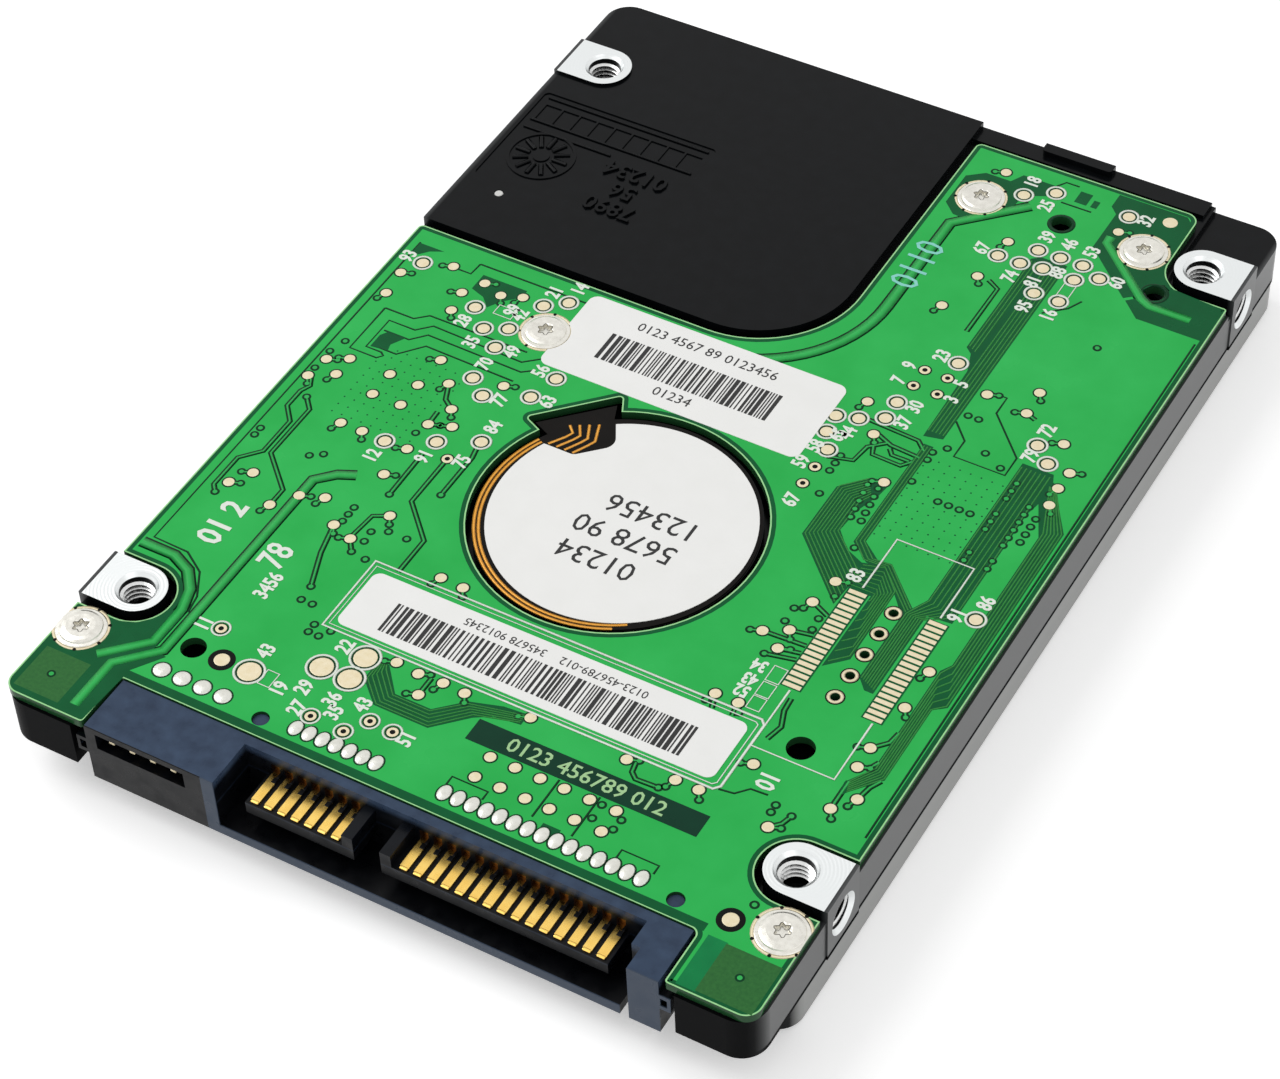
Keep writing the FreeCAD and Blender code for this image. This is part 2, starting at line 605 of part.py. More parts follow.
def at_mouth(edge):
    """The rims of the mounting holes."""
    if not hasattr(edge.Curve, "Radius") or abs(edge.Curve.Radius - number("dim.thread_round")) > 1e-4:
        return False
    middle = edge.Curve.Center
    top = abs(middle.z - number("dim.height")) < 1e-4
    return top or abs(abs(middle.x) - number(HALF)) < 1e-4


bevel(case, "dim.thread_chamfer", at_mouth)

# ---------------------------------------------------------------- the cover and its seal
# Pressed steel sheet with a deep skirt, dimpled at each screw and recessed for its label.
cover = keep(new_body("top_cover"))
SKIRT_Z = "(dim.shoulder - dim.seam)"
pad(cover, "0", SKIRT_Z, frame_box("dim.cover_gap + dim.cover_sheet", "(dim.case_corner - 0.1)"))
pocket(cover, "dim.cover_sheet", "(%s + 0.1)" % SKIRT_Z,
       frame_box("dim.cover_gap", "(dim.case_corner - 0.1 - dim.cover_sheet)"))


def label_box(inset, r):
    """The cover's label recess, or the label inside it."""
    side = "(%s - dim.label_side - (%s))" % (WALL_X, inset)
    low, high = "(%s + dim.label_front + (%s))" % (CASE_FRONT,
                                                   inset), "(%s - dim.label_back - (%s))" % (BACK, inset)
    return [("-" + side, low, r), (side, low, r), (side, high, r), ("-" + side, high, r)]


LABEL_BOX = label_box("0", "3")
pad(cover, "dim.cover_sheet", LABEL_Z, LABEL_BOX)
pocket(cover, "-0.1", "dim.label_recess", LABEL_BOX)
pad(cover, "dim.label_recess", RIM_Z, circles=[(x, y, "dim.dimple_round") for x, y in COVER_SCREWS])
HEAD_SEAT = "(%s - dim.cover_sheet)" % RIM_Z
pocket(cover, "-0.1", HEAD_SEAT, circles=[(x, y, "(dim.screw_head + 0.15)") for x, y in COVER_SCREWS])
pocket(cover, "(%s - 0.1)" % HEAD_SEAT, "(%s + 0.1)" % RIM_Z,
       circles=[(x, y, "(dim.screw_round + 0.1)") for x, y in COVER_SCREWS])


def under_rim(edge):
    """The outer bottom edges of the cover."""
    box = edge.BoundBox
    if box.ZMax > 1e-4:
        return False
    outer = number("%s - dim.rim_inset + dim.cover_gap + dim.cover_sheet" % WALL_X)
    inside = outer - number("dim.case_corner")
    return max(abs(box.XMin), abs(box.XMax)) > inside and (abs(box.Center.x) > inside or box.XLength > 30)


bevel(cover, "0.3", under_rim)

gasket = keep(new_body("cover_gasket"))
OUT = "(dim.gasket_gap + dim.gasket_width)"
pad(gasket, "dim.cover_sheet", RIM_Z, circles=[("0", SPIN_Y, "(%s + %s)" % (CAVITY, OUT))])
pad(gasket, "dim.cover_sheet", RIM_Z, cavity(OUT))
pocket(gasket, "(dim.cover_sheet - 0.1)", "(%s + 0.1)" % RIM_Z,
       circles=[("0", SPIN_Y, "(%s + dim.gasket_gap)" % CAVITY)])
pocket(gasket, "(dim.cover_sheet - 0.1)", "(%s + 0.1)" % RIM_Z, cavity("dim.gasket_gap"))

label = keep(new_body("cover_label"))
pad(label, "(dim.label_recess - dim.label_thick)", "dim.label_recess",
    label_box("dim.label_border", "(3 - dim.label_border)"))
pocket(label, "-0.1", "(dim.label_recess + 0.1)", circles=[(PIVOT_X, PIVOT_Y, "(dim.screw_head + 0.5)")])


def screw(x, y, seat, head_way, head, thick, reach, washer=None):
    """A pan head screw: seat is the height under its head, which lies towards head_way."""
    spans = sorted([seat, "(%s + (%s) * (%s))" % (seat, head_way, thick)], key=number)
    shank = sorted([seat, "(%s - (%s) * (%s))" % (seat, head_way, reach)], key=number)
    pieces = [cylinder(x, y, spans[0], spans[1], head),
              cylinder(x, y, shank[0], shank[1], "dim.screw_round")]
    if washer:
        pieces.append(cylinder(x, y, seat, "(%s + dim.washer_thick * (%s))" % (seat, head_way), washer))
    socket = doc.addObject("Part::Prism", "socket")
    socket.Polygon = 6
    bind(socket, Circumradius="dim.socket_round", Height="0.5 * (%s)" % thick)
    inside = "%s + 0.5 * (%s)" % (spans[0], thick) if head_way == "1" else spans[0]
    place(socket, x, y, inside)
    return cut(fuse(*pieces), socket)


keep(group("cover_screws", [screw(x, y, HEAD_SEAT, "-1", "dim.screw_head", "0.4", "(dim.screw_bite + 0.3)")
                            for x, y in COVER_SCREWS]))

# ---------------------------------------------------------------- spindle motor and disks
keep(turned("motor_shaft", [
    ("0", "%s - dim.clamp_over" % DISK_A), ("dim.shaft_round", "%s - dim.clamp_over" % DISK_A),
    ("dim.shaft_round", "%s - 0.7" % SLEEVE_TOP),
    ("2.6", "%s - 0.7" % SLEEVE_TOP), ("2.6", "%s - 0.4" % SLEEVE_TOP), ("0", "%s - 0.4" % SLEEVE_TOP)],
    "0", SPIN_Y))
hub = keep(turned("motor_hub", [
    ("dim.shaft_round", "%s - dim.clamp_over" % DISK_A),
    ("dim.disk_bore - 0.05", "%s - dim.clamp_over" % DISK_A),
    ("dim.disk_bore - 0.05", DISK_B_TOP), ("dim.disk_bore + 2", DISK_B_TOP),
    ("dim.disk_bore + 2", "%s + 0.6" % DISK_B_TOP),
    ("dim.disk_bore - 0.05 - dim.hub_wall", "%s + 0.6" % DISK_B_TOP),
    ("dim.disk_bore - 0.05 - dim.hub_wall", "%s + 0.5" % DISK_A), ("dim.shaft_round", "%s + 0.5" % DISK_A)],
    "0", SPIN_Y))
MAGNET_R = "(dim.disk_bore - 0.05 - dim.hub_wall)"
keep(turned("rotor_magnet",
            ring_outline("%s - 0.75" % MAGNET_R, MAGNET_R, "%s + 0.8" % DISK_A, "%s + 0.5" % DISK_B_TOP),
            "0", SPIN_Y))
keep(turned("cover_side_disk", ring_outline("dim.disk_bore", "dim.disk_round", DISK_A, DISK_A_TOP), "0",
            SPIN_Y))
keep(turned("disk_spacer", ring_outline("dim.disk_bore", "dim.disk_bore + 2", DISK_A_TOP, DISK_B), "0",
            SPIN_Y))
keep(turned("base_side_disk", ring_outline("dim.disk_bore", "dim.disk_round", DISK_B, DISK_B_TOP), "0",
            SPIN_Y))
CLAMP_Z = "(%s - dim.clamp_over)" % DISK_A
clamp = keep(turned("disk_clamp", [
    ("0", "%s - dim.clamp_thick" % CLAMP_Z), ("dim.disk_bore + 1.5", "%s - dim.clamp_thick" % CLAMP_Z),
    ("dim.disk_bore + 1.5", DISK_A),
    ("dim.disk_bore + 0.3", DISK_A), ("dim.disk_bore + 0.3", CLAMP_Z), ("0", CLAMP_Z)], "0", SPIN_Y))
CLAMP_SPOTS = [("dim.clamp_ring", "0"), ("0", "dim.clamp_ring"), ("-dim.clamp_ring", "0"),
               ("0", "-dim.clamp_ring")]
doc.recompute()
for piece, low, high in ((clamp, "(%s - 0.5)" % CLAMP_Z, CLAMP_Z), (hub, CLAMP_Z, "(%s + 0.85)" % CLAMP_Z)):
    pocket(piece, low, high, circles=[(x, y, "dim.clamp_shank") for x, y in CLAMP_SPOTS])
keep(group("clamp_screws", [fuse(
    cylinder(x, "%s + (%s)" % (SPIN_Y, y), "(%s - dim.clamp_thick - 0.25)" % CLAMP_Z,
             "(%s - dim.clamp_thick)" % CLAMP_Z, "(2 * dim.clamp_shank)"),
    cylinder(x, "%s + (%s)" % (SPIN_Y, y), "(%s - dim.clamp_thick)" % CLAMP_Z, "(%s + 0.8)" % CLAMP_Z,
             "dim.clamp_shank"))
    for x, y in CLAMP_SPOTS]))

BORE = "(dim.shaft_round + dim.run)"
keep(turned("bearing_sleeve", [
    (BORE, "dim.pedestal_low - 0.4"), ("dim.sleeve_round", "dim.pedestal_low - 0.4"),
    ("dim.sleeve_round", SLEEVE_TOP),
    ("2.7", SLEEVE_TOP), ("2.7", "%s - 0.8" % SLEEVE_TOP), (BORE, "%s - 0.8" % SLEEVE_TOP)], "0", SPIN_Y))
keep(turned("bearing_cap", ring_outline("0", "2.7", "%s - 0.3" % SLEEVE_TOP, SLEEVE_TOP), "0", SPIN_Y))


def around(body, originals, count):
    """Repeat features in a circle about the body's own vertical axis."""
    made = body.newObject("PartDesign::PolarPattern", body.Name + "_pattern")
    made.Originals = originals
    axis = [item for item in body.Origin.OriginFeatures if item.Role == "Z_Axis"][0]
    made.Axis = (axis, [""])
    made.Angle = 360
    made.Occurrences = count
    body.Tip = made
    return made


CORE_LOW, CORE_HIGH = "(dim.pedestal_low + 0.5)", "(dim.pedestal_low + 1.5)"
core = keep(place(new_body("stator_core"), "0", SPIN_Y))
pad(core, CORE_LOW, CORE_HIGH, circles=[("0", "0", "5.3"), ("0", "0", "dim.pedestal_round")])
tooth = pad(core, CORE_LOW, CORE_HIGH, [("5", "-0.55"), ("7.4", "-0.55"), ("7.4", "-1.3"), ("7.9", "-1.3"),
                                        ("7.9", "1.3"), ("7.4", "1.3"), ("7.4", "0.55"), ("5", "0.55")])
around(core, [tooth], 9)
coils = keep(place(new_body("stator_coils"), "0", SPIN_Y))
wound = pad(coils, "(%s - 0.6)" % CORE_LOW, "(%s + 0.6)" % CORE_HIGH,
            [("5.5", "-1.1", "0.3"), ("7.2", "-1.1", "0.3"), ("7.2", "1.1", "0.3"), ("5.5", "1.1", "0.3")])
window = pocket(coils, CORE_LOW, CORE_HIGH,
                [("5", "-0.55"), ("7.6", "-0.55"), ("7.6", "0.55"), ("5", "0.55")])
around(coils, [wound, window], 9)

# ---------------------------------------------------------------- actuator
# An aluminium arm block on a bearing cartridge, with the voice coil on one side of the
# pivot and the heads on the other. Its own +X points along the parked arm.
ARM_LOW = "(%s - %s - dim.arm_thick)" % (DISK_A, HEAD_ROOM)
ARM_HIGH = "(%s + %s + dim.arm_thick)" % (DISK_B_TOP, HEAD_ROOM)
ARM_SPANS = [(ARM_LOW, "(%s - %s)" % (DISK_A, HEAD_ROOM)),
             ("(%s + %s)" % (DISK_A_TOP, HEAD_ROOM), "(%s - %s)" % (DISK_B, HEAD_ROOM)),
             ("(%s + %s)" % (DISK_B_TOP, HEAD_ROOM), ARM_HIGH)]
LOW_YOKE = "(%s + 0.1)" % LABEL_Z
LOW_MAGNET = "(%s + dim.yoke_thick)" % LOW_YOKE
HIGH_YOKE = "(%s - dim.yoke_thick)" % DECK_IN
HIGH_MAGNET = "(%s - dim.magnet_thick)" % HIGH_YOKE
COIL_MIDDLE = "((%s + dim.magnet_thick + %s) / 2)" % (LOW_MAGNET, HIGH_MAGNET)
COIL_LOW, COIL_HIGH = "(%s - dim.coil_thick / 2)" % COIL_MIDDLE, "(%s + dim.coil_thick / 2)" % COIL_MIDDLE


def pivot_body(label, turn=PARKED):
    return place(new_body(label), PIVOT_X, PIVOT_Y, "0", turn)


def sector(label, inner, outer, low, high, middle, sweep):
    """A sector of a ring about the arm's pivot."""
    body = turned(label, ring_outline(inner, outer, low, high), PIVOT_X, PIVOT_Y, sweep, middle)
    body.Tip.Midplane = True
    return body


arm = keep(pivot_body("actuator_arm"))
pad(arm, ARM_LOW, ARM_HIGH, circles=[("0", "0", "dim.arm_hub"), ("0", "0", "dim.cartridge_round")])
for low, high in ARM_SPANS:
    pad(arm, low, high, [("4.2", "-4"), ("15", "-2.9"), ("dim.head_reach - 8", "-2.2", "0.8"),
                         ("dim.head_reach - 6.5", "-1", "0.5"), ("dim.head_reach - 6.5", "1", "0.5"),
                         ("dim.head_reach - 8", "2.2", "0.8"), ("15", "2.9"), ("4.2", "4")])
pocket(arm, "(%s - 0.1)" % ARM_LOW, "(%s + 0.1)" % ARM_HIGH,
       circles=[("10.5", "0", "1.7"), ("15.5", "0", "1.4"), ("20", "0", "1.1")])
IN_COS, IN_SIN = "cos(dim.coil_half)", "sin(dim.coil_half)"
for side in ("1", "-1"):
    leg = [("-5.5 * %s" % IN_COS, "%s * 5.5 * %s" % (side, IN_SIN)),
           ("-16 * %s" % IN_COS, "%s * 16 * %s" % (side, IN_SIN)),
           ("-16 * cos(dim.coil_half + 5)", "%s * 16 * sin(dim.coil_half + 5)" % side, "0.4"),
           ("-5.5 * cos(dim.coil_half + 15)", "%s * 5.5 * sin(dim.coil_half + 15)" % side)]
    pad(arm, COIL_LOW, COIL_HIGH, leg)

coil = keep(sector("voice_coil", "dim.coil_in", "dim.coil_out", COIL_LOW, COIL_HIGH, "%s + 180" % PARKED,
                   "2 * dim.coil_half"))
doc.recompute()
pocket(coil, "(%s - 0.1)" % COIL_LOW, "(%s + 0.1)" % COIL_HIGH,
       [("10.4", "-0.9", "0.4"), ("13.7", "-1.8", "0.4"), ("13.7", "1.8", "0.4"), ("10.4", "0.9", "0.4")])

SLEEVE_IN = "(dim.cartridge_round - dim.sleeve_wall)"
PIVOT_BORE = "(dim.pivot_round + dim.run)"
CARTRIDGE_LOW, CARTRIDGE_HIGH = "(%s + 0.15)" % RIM_Z, "(%s - 0.1)" % ARM_HIGH
keep(turned("pivot_sleeve", ring_outline(SLEEVE_IN, "dim.cartridge_round", CARTRIDGE_LOW, CARTRIDGE_HIGH),
            PIVOT_X, PIVOT_Y))
bearings = keep(turned("pivot_bearings",
                       ring_outline(PIVOT_BORE, SLEEVE_IN, CARTRIDGE_LOW, "%s + 1.2" % CARTRIDGE_LOW),
                       PIVOT_X, PIVOT_Y))
doc.recompute()
pad(bearings, "(%s - 1.2)" % CARTRIDGE_HIGH, CARTRIDGE_HIGH,
    circles=[("0", "0", SLEEVE_IN), ("0", "0", PIVOT_BORE)])
keep(turned("pivot_shaft", ring_outline("dim.screw_round", "dim.pivot_round", RIM_Z, DECK_IN), PIVOT_X,
            PIVOT_Y))

springs = keep(pivot_body("head_suspensions"))
heads = keep(pivot_body("read_write_heads"))
TIP = "(dim.head_reach + 2.5)"
for face, away in ((DISK_A, "-1"), (DISK_A_TOP, "1"), (DISK_B, "-1"), (DISK_B_TOP, "1")):
    near = "(%s + (%s) * dim.slider_gap)" % (face, away)
    slider = "(%s + (%s) * (dim.slider_gap + dim.slider_high))" % (face, away)
    far = "(%s + (%s) * %s)" % (face, away, HEAD_ROOM)
    low, high = sorted([slider, far], key=number)
    pad(springs, low, high,
        [("dim.head_reach - 12", "-1.9"), ("dim.head_reach - 3", "-0.9"), (TIP, "-0.3", "0.25"),
                             (TIP, "0.3", "0.25"), ("dim.head_reach - 3", "0.9"),
                             ("dim.head_reach - 12", "1.9")])
    low, high = sorted([near, slider], key=number)
    pad(heads, low, high, [("dim.head_reach - 0.6", "-0.5"), ("dim.head_reach + 0.6", "-0.5"),
                           ("dim.head_reach + 0.6", "0.5"), ("dim.head_reach - 0.6", "0.5")])

circuit = keep(pivot_body("arm_flex"))
pad(circuit, "(%s + 0.5)" % ARM_LOW, "(%s - 0.5)" % ARM_HIGH, [
    ("-2.5", "dim.arm_hub"), ("4", "dim.arm_hub"), ("4", "(dim.arm_hub + dim.film_thick)"),
    ("-2.5", "(dim.arm_hub + dim.film_thick)")])
chip = keep(pivot_body("head_preamplifier"))
pad(chip, "(%s + 1.2)" % ARM_LOW, "(%s - 1.2)" % ARM_HIGH, [
    ("0.5", "(dim.arm_hub + dim.film_thick)"), ("3", "(dim.arm_hub + dim.film_thick)"),
    ("3", "(dim.arm_hub + 0.6)"), ("0.5", "(dim.arm_hub + 0.6)")])

# ---------------------------------------------------------------- voice coil motor, fixed half
keep(sector("cover_side_yoke", "dim.arm_hub + 0.8", "dim.yoke_out", LOW_YOKE, LOW_MAGNET, SWING_MIDDLE,
            "dim.swing_wide"))
keep(sector("base_side_yoke", "dim.arm_hub + 0.8", "dim.yoke_out", HIGH_YOKE, DECK_IN, SWING_MIDDLE,
            "dim.swing_wide"))
MAGNET_SPANS = ((LOW_MAGNET, "%s + dim.magnet_thick" % LOW_MAGNET), (HIGH_MAGNET, HIGH_YOKE))
keep(group("voice_coil_magnets", [
    sector("magnet", "dim.magnet_in", "dim.magnet_out", low, high, "%s + (%s)" % (SWING_MIDDLE, turn),
           "38.6")
    for low, high in MAGNET_SPANS for turn in ("21.8", "-17.2")]))
POST_TURNS = ["(%s %s (dim.swing_wide / 2 - 7.5))" % (SWING_MIDDLE, sign) for sign in "-+"]
YOKE_POSTS = [("(%s + dim.post_ring * cos(%s))" % (PIVOT_X, turn),
               "(%s + dim.post_ring * sin(%s))" % (PIVOT_Y, turn)) for turn in POST_TURNS]
keep(group("yoke_posts", [cylinder(x, y, LOW_MAGNET, HIGH_YOKE, "dim.yoke_post") for x, y in YOKE_POSTS]))
keep(group("crash_stops",
           [cut(cylinder(x, y, "(%s - 0.2)" % COIL_LOW, "(%s + 0.2)" % COIL_HIGH, "dim.stop_round"),
                cylinder(x, y, "(%s - 0.3)" % COIL_LOW, "(%s + 0.3)" % COIL_HIGH, "dim.yoke_post"))
            for x, y in YOKE_POSTS]))

# ---------------------------------------------------------------- inertia latch
LATCH_WAY = "(%s + dim.latch_turn)" % PARKED
LATCH = ("(%s + dim.latch_reach * cos(%s))" % (PIVOT_X, LATCH_WAY),
         "(%s + dim.latch_reach * sin(%s))" % (PIVOT_Y, LATCH_WAY))
LATCH_LOW, LATCH_HIGH = "(%s + 0.2)" % COIL_LOW, "(%s - 0.2)" % COIL_HIGH
latch = keep(place(new_body("inertia_latch"), LATCH[0], LATCH[1], "0", "%s + 18.69" % PARKED))
pad(latch, LATCH_LOW, LATCH_HIGH,
    [("-6.3", "5.9", "0.3"), ("-5.2", "6.6", "0.3"), ("0.6", "1.4", "0.8"), ("4.6", "1.1", "1.2"),
     ("4.6", "-1.6", "1.2"), ("-0.6", "-1.2", "0.8")])
pocket(latch, "(%s - 0.1)" % LATCH_LOW, "(%s + 0.1)" % LATCH_HIGH,
       circles=[("0", "0", "(dim.latch_pin + dim.run)")])
keep(cut(cylinder(LATCH[0], LATCH[1], "(%s - 0.5)" % LATCH_LOW, DECK_IN, "dim.latch_pin"),
         cylinder(LATCH[0], LATCH[1], "(%s - 0.6)" % LATCH_LOW, "(%s - 0.3)" % LATCH_LOW, "0.2")),
         "latch_pin")

# ---------------------------------------------------------------- ramp, flex circuit and filters
RAMP = "(%s - 1.8)" % PARKED
REACH = "(dim.head_reach + 3.8)"
OVER = "(dim.disk_round + 0.5)"
holder = cut(sector("holder", REACH, "%s + 3.2" % REACH, "1", FLOOR_IN, RAMP, "11"),
             cylinder("0", SPIN_Y, "0", DECK_IN, OVER))
fin_spans = (("%s - 0.27" % DISK_A, "%s + 0.27" % DISK_A_TOP),
             ("%s - 0.27" % DISK_B, "%s + 0.27" % DISK_B_TOP))
fins = [sector("fin", "dim.head_reach + 1.3", "%s + 0.1" % REACH, low, high, RAMP, "9")
        for low, high in fin_spans]
slots = [cylinder("0", SPIN_Y, "%s - 0.1" % DISK_A, "%s + 0.1" % DISK_A_TOP, OVER),
         cylinder("0", SPIN_Y, "%s - 0.1" % DISK_B, "%s + 0.1" % DISK_B_TOP, OVER)]
keep(fuse(holder, cut(fuse(*fins), *slots)), "load_ramp")

bracket = keep(new_body("flex_bracket"))
pad(bracket, "(%s - 1)" % FLOOR_IN, FLOOR_IN, [
    ("(%s - 2.5)" % PORT[0], "(%s - 2)" % PORT[2], "0.8"),
    ("(%s + 1.5)" % PORT[1], "(%s - 2)" % PORT[2], "0.8"),
    ("(%s + 1.5)" % PORT[1], "(%s + 2)" % PORT[3], "0.8"),
    ("(%s - 2.5)" % PORT[0], "(%s + 2)" % PORT[3], "0.8")])
keep(block(PORT[0], PORT[1], PORT[2], PORT[3], FLOOR_IN, BOARD_UNDER), "head_connector")
flex = keep(new_body("head_flex"))
LOOP_X, LOOP_Y = "(%s - 1.0)" % PORT[0], PORT[2]
RUN_X, TOP_Y, END_X = "(%s + 13)" % PIVOT_X, "(%s + 12.2)" % PIVOT_Y, "(%s + 4.6)" % PIVOT_X
pad(flex, "(%s + 0.7)" % ARM_LOW, "(%s - 1)" % FLOOR_IN, [
    (LOOP_X, LOOP_Y), (LOOP_X, "(%s + 3)" % LOOP_Y, "1"), (RUN_X, "(%s + 3)" % LOOP_Y, "3"),
    (RUN_X, TOP_Y, "2.6"),
    (END_X, TOP_Y, "1.4"), (END_X, "(%s - 3.6)" % TOP_Y),
    ("(%s + dim.film_thick)" % END_X, "(%s - 3.6)" % TOP_Y),
    ("(%s + dim.film_thick)" % END_X, "(%s - dim.film_thick)" % TOP_Y, "(1.4 - dim.film_thick)"),
    ("(%s - dim.film_thick)" % RUN_X, "(%s - dim.film_thick)" % TOP_Y, "(2.6 - dim.film_thick)"),
    ("(%s - dim.film_thick)" % RUN_X, "(%s + 3 - dim.film_thick)" % LOOP_Y, "(3 + dim.film_thick)"),
    ("(%s - dim.film_thick)" % LOOP_X, "(%s + 3 - dim.film_thick)" % LOOP_Y, "(1 - dim.film_thick)"),
    ("(%s - dim.film_thick)" % LOOP_X, LOOP_Y)])
keep(block("(%s - 5.4)" % CAVE_X, "(%s - 3.9)" % CAVE_X, "(%s + 23.2)" % SPIN_Y, "(%s + 29.6)" % SPIN_Y,
           "(%s + 0.05)" % RIM_Z, FLOOR_IN), "recirculation_filter")
keep(cylinder(BREATHER[0], BREATHER[1], "(%s - 0.6)" % DECK_IN, DECK_IN, "2.4"), "breather_filter")

# ---------------------------------------------------------------- circuit board
# Glass-epoxy board with the connector's cut-out in front, notches round three lugs and a
# narrow back part beside the raised deck.
board = keep(new_body("circuit_board"))
NOTCH = "(dim.lug_round + dim.board_gap)"


def notch(side):
    """The board's edge round a front lug, going towards the back on the right."""
    inner, edge, soft = "%s * (%s - %s)" % (side, LUG_X, NOTCH), "%s * %s" % (side,
        BOARD_X), "(%s - 0.02)" % NOTCH
    low, high = "(%s - %s)" % (LUG_YS[0], NOTCH), "(%s + %s)" % (LUG_YS[0], NOTCH)
    spots = [(edge, low), (inner, low, soft), (inner, high, soft), (edge, high)]
    return spots if side == "1" else spots[::-1]


PLUG_CUT = "(%s + 0.1)" % PLUG_BACK
BOARD_FRONT = "(%s + 0.3)" % FRONT
pad(board, BOARD_UNDER, BOARD_TOP, [
    ("-" + BOARD_X, BOARD_FRONT, "1.4"), ("(0.7 - dim.plug_left)", BOARD_FRONT, "0.3"),
    ("(0.7 - dim.plug_left)", PLUG_CUT, "0.4"),
    ("(%s - 0.6)" % EAR_R, PLUG_CUT, "0.7"), ("(%s - 0.6)" % EAR_R, BOARD_FRONT, "0.3"),
    (BOARD_X, BOARD_FRONT, "1.4"),
] + notch("1") + [
    (BOARD_X, LUG_BACK_LOW, "0.3"), (TONGUE_R, LUG_BACK_LOW, "3.2"), (TONGUE_R, BOARD_BACK, "1.2"),
    ("dim.tongue_left", BOARD_BACK, "0.6"), ("dim.tongue_left", BOARD_EDGE, "dim.tongue_bend"),
    ("-" + BOARD_X, BOARD_EDGE, "0.5"),
] + notch("-1"))
TAIL_HOLES = [("(dim.signal_first + %d * dim.pitch)" % i, TAIL_Y) for i in range(7)]
TAIL_HOLES += [("(dim.power_first + %d * dim.pitch)" % i, TAIL_Y) for i in range(15)]
TAIL_HOLES += [("(dim.jumper_first + %d * dim.jumper_pitch)" % i, TAIL_Y) for i in range(4)]
PEGS = [("-14.1", "(%s - 0.5)" % TAIL_Y), ("(%s - 2.6)" % HOUSE_R, "(%s - 0.5)" % TAIL_Y)]
BOARD_HOLES = [(x, y, "(dim.screw_round + 0.15)") for x, y in BOARD_SCREWS]
BOARD_HOLES += [("16.9", "(%s - 6.7)" % BOARD_BACK, "0.9"),
                ("(%s + 0.5)" % TONGUE_R, "(%s - 4.4)" % LUG_YS[1], "0.9"),
                ("25.3", "(%s + 25.1)" % FRONT, "1.2"), ("-23.2", "(%s + 11.1)" % FRONT, "1.1")]
BOARD_HOLES += [(x, y, "0.75") for x, y in PEGS]
BOARD_HOLES += [("25.2", "(%s + 1.4 - %d * 2.55)" % (SPIN_Y, i), "0.42") for i in range(5)]
BOARD_HOLES += [(x, y, "dim.tail_bore") for x, y in TAIL_HOLES]
BOARD_HOLES += [("0", SPIN_Y, "dim.board_hole")]
pocket(board, BOARD_UNDER, BOARD_TOP, circles=BOARD_HOLES)
pocket(board, BOARD_UNDER, BOARD_TOP, [
    ("-13.1", "(%s + 6.9)" % SPIN_Y, "0.3"), ("-9", "(%s + 5)" % SPIN_Y), ("-5", "(%s + 9)" % SPIN_Y),
    ("-7", "(%s + 13)" % SPIN_Y, "0.3")])

keep(group("board_screws", [screw(x, y, BOARD_TOP, "1", "dim.board_head", "dim.board_head_high",
                                  "(dim.board_thick + dim.board_clear + 0.2)", "dim.board_washer") for x,
                                  y in BOARD_SCREWS]))


def chip_block(label, x, y, wide, long, high):
    """A part soldered to the underside of the board."""
    return block("(%s - %s / 2)" % (x, wide), "(%s + %s / 2)" % (x, wide), "(%s - %s / 2)" % (y, long),
                 "(%s + %s / 2)" % (y, long), "(%s - %s)" % (BOARD_UNDER, high), BOARD_UNDER)


keep(chip_block("chip", "23", "(%s + 14.2)" % SPIN_Y, "12", "12", "0.95"), "controller_chip")
keep(chip_block("chip", "-24.5", "(%s + 4.7)" % SPIN_Y, "8", "8", "0.9"), "motor_driver_chip")
keep(chip_block("chip", "24.2", "(%s - 7.5)" % SPIN_Y, "6", "10", "1"), "memory_chip")
SMALL_SPOTS = [(x, y) for x in ("-29", "-22", "-17") for y in ("-12", "-16", "-20")]
SMALL_SPOTS += [(x, y) for x in ("16", "21.5", "27") for y in ("-24", "-19.5")]
keep(group("board_components", [chip_block("small", x, "(%s + %s + 0.2)" % (SPIN_Y, y), "2", "1.2", "0.8")
                                for x, y in SMALL_SPOTS]))
keep(block("-13", "12", "(%s - 25)" % SPIN_Y, "(%s - 15)" % SPIN_Y, FLOOR_OUT, "(%s - 0.3)" % BOARD_UNDER),
     "foam_pad")

# ---------------------------------------------------------------- motor's ribbon and labels
ribbon = keep(new_body("motor_flex"))
RIBBON_HIGH = "(%s + dim.ribbon_thick)" % MOTOR_TOP
strip = new_sketch(ribbon, MOTOR_TOP)
draw_circles(strip, [("0", SPIN_Y, "(dim.motor_round - 0.1)"), ("0", SPIN_Y, "(dim.motor_round - 4)")])
feature(ribbon, "Pad", strip, "%s - %s" % (RIBBON_HIGH, MOTOR_TOP))
pad(ribbon, MOTOR_TOP, RIBBON_HIGH, [
    ("-12.2", "(%s + 6.9)" % SPIN_Y), ("-9.5", "(%s + 5.7)" % SPIN_Y), ("-3.6", "(%s + 5.6)" % SPIN_Y),
    ("-5.9", "(%s + 9.2)" % SPIN_Y), ("-7", "(%s + 12)" % SPIN_Y)])
disc_label = keep(new_body("motor_label"))
pad(disc_label, RIBBON_HIGH, "(%s + dim.sticker)" % RIBBON_HIGH,
    circles=[("0.3", "(%s + 0.2)" % SPIN_Y, "(dim.motor_round - 0.75)")])
pocket(disc_label, RIBBON_HIGH, "(%s + dim.sticker)" % RIBBON_HIGH, [
    ("-13", "(%s + 5)" % SPIN_Y), ("-7.3", "(%s + 5)" % SPIN_Y, "0.8"),
    ("-4.6", "(%s + 7.6)" % SPIN_Y, "1.2"), ("-7.4", "(%s + 12.5)" % SPIN_Y)])
seal = keep(new_body("seal_label"))
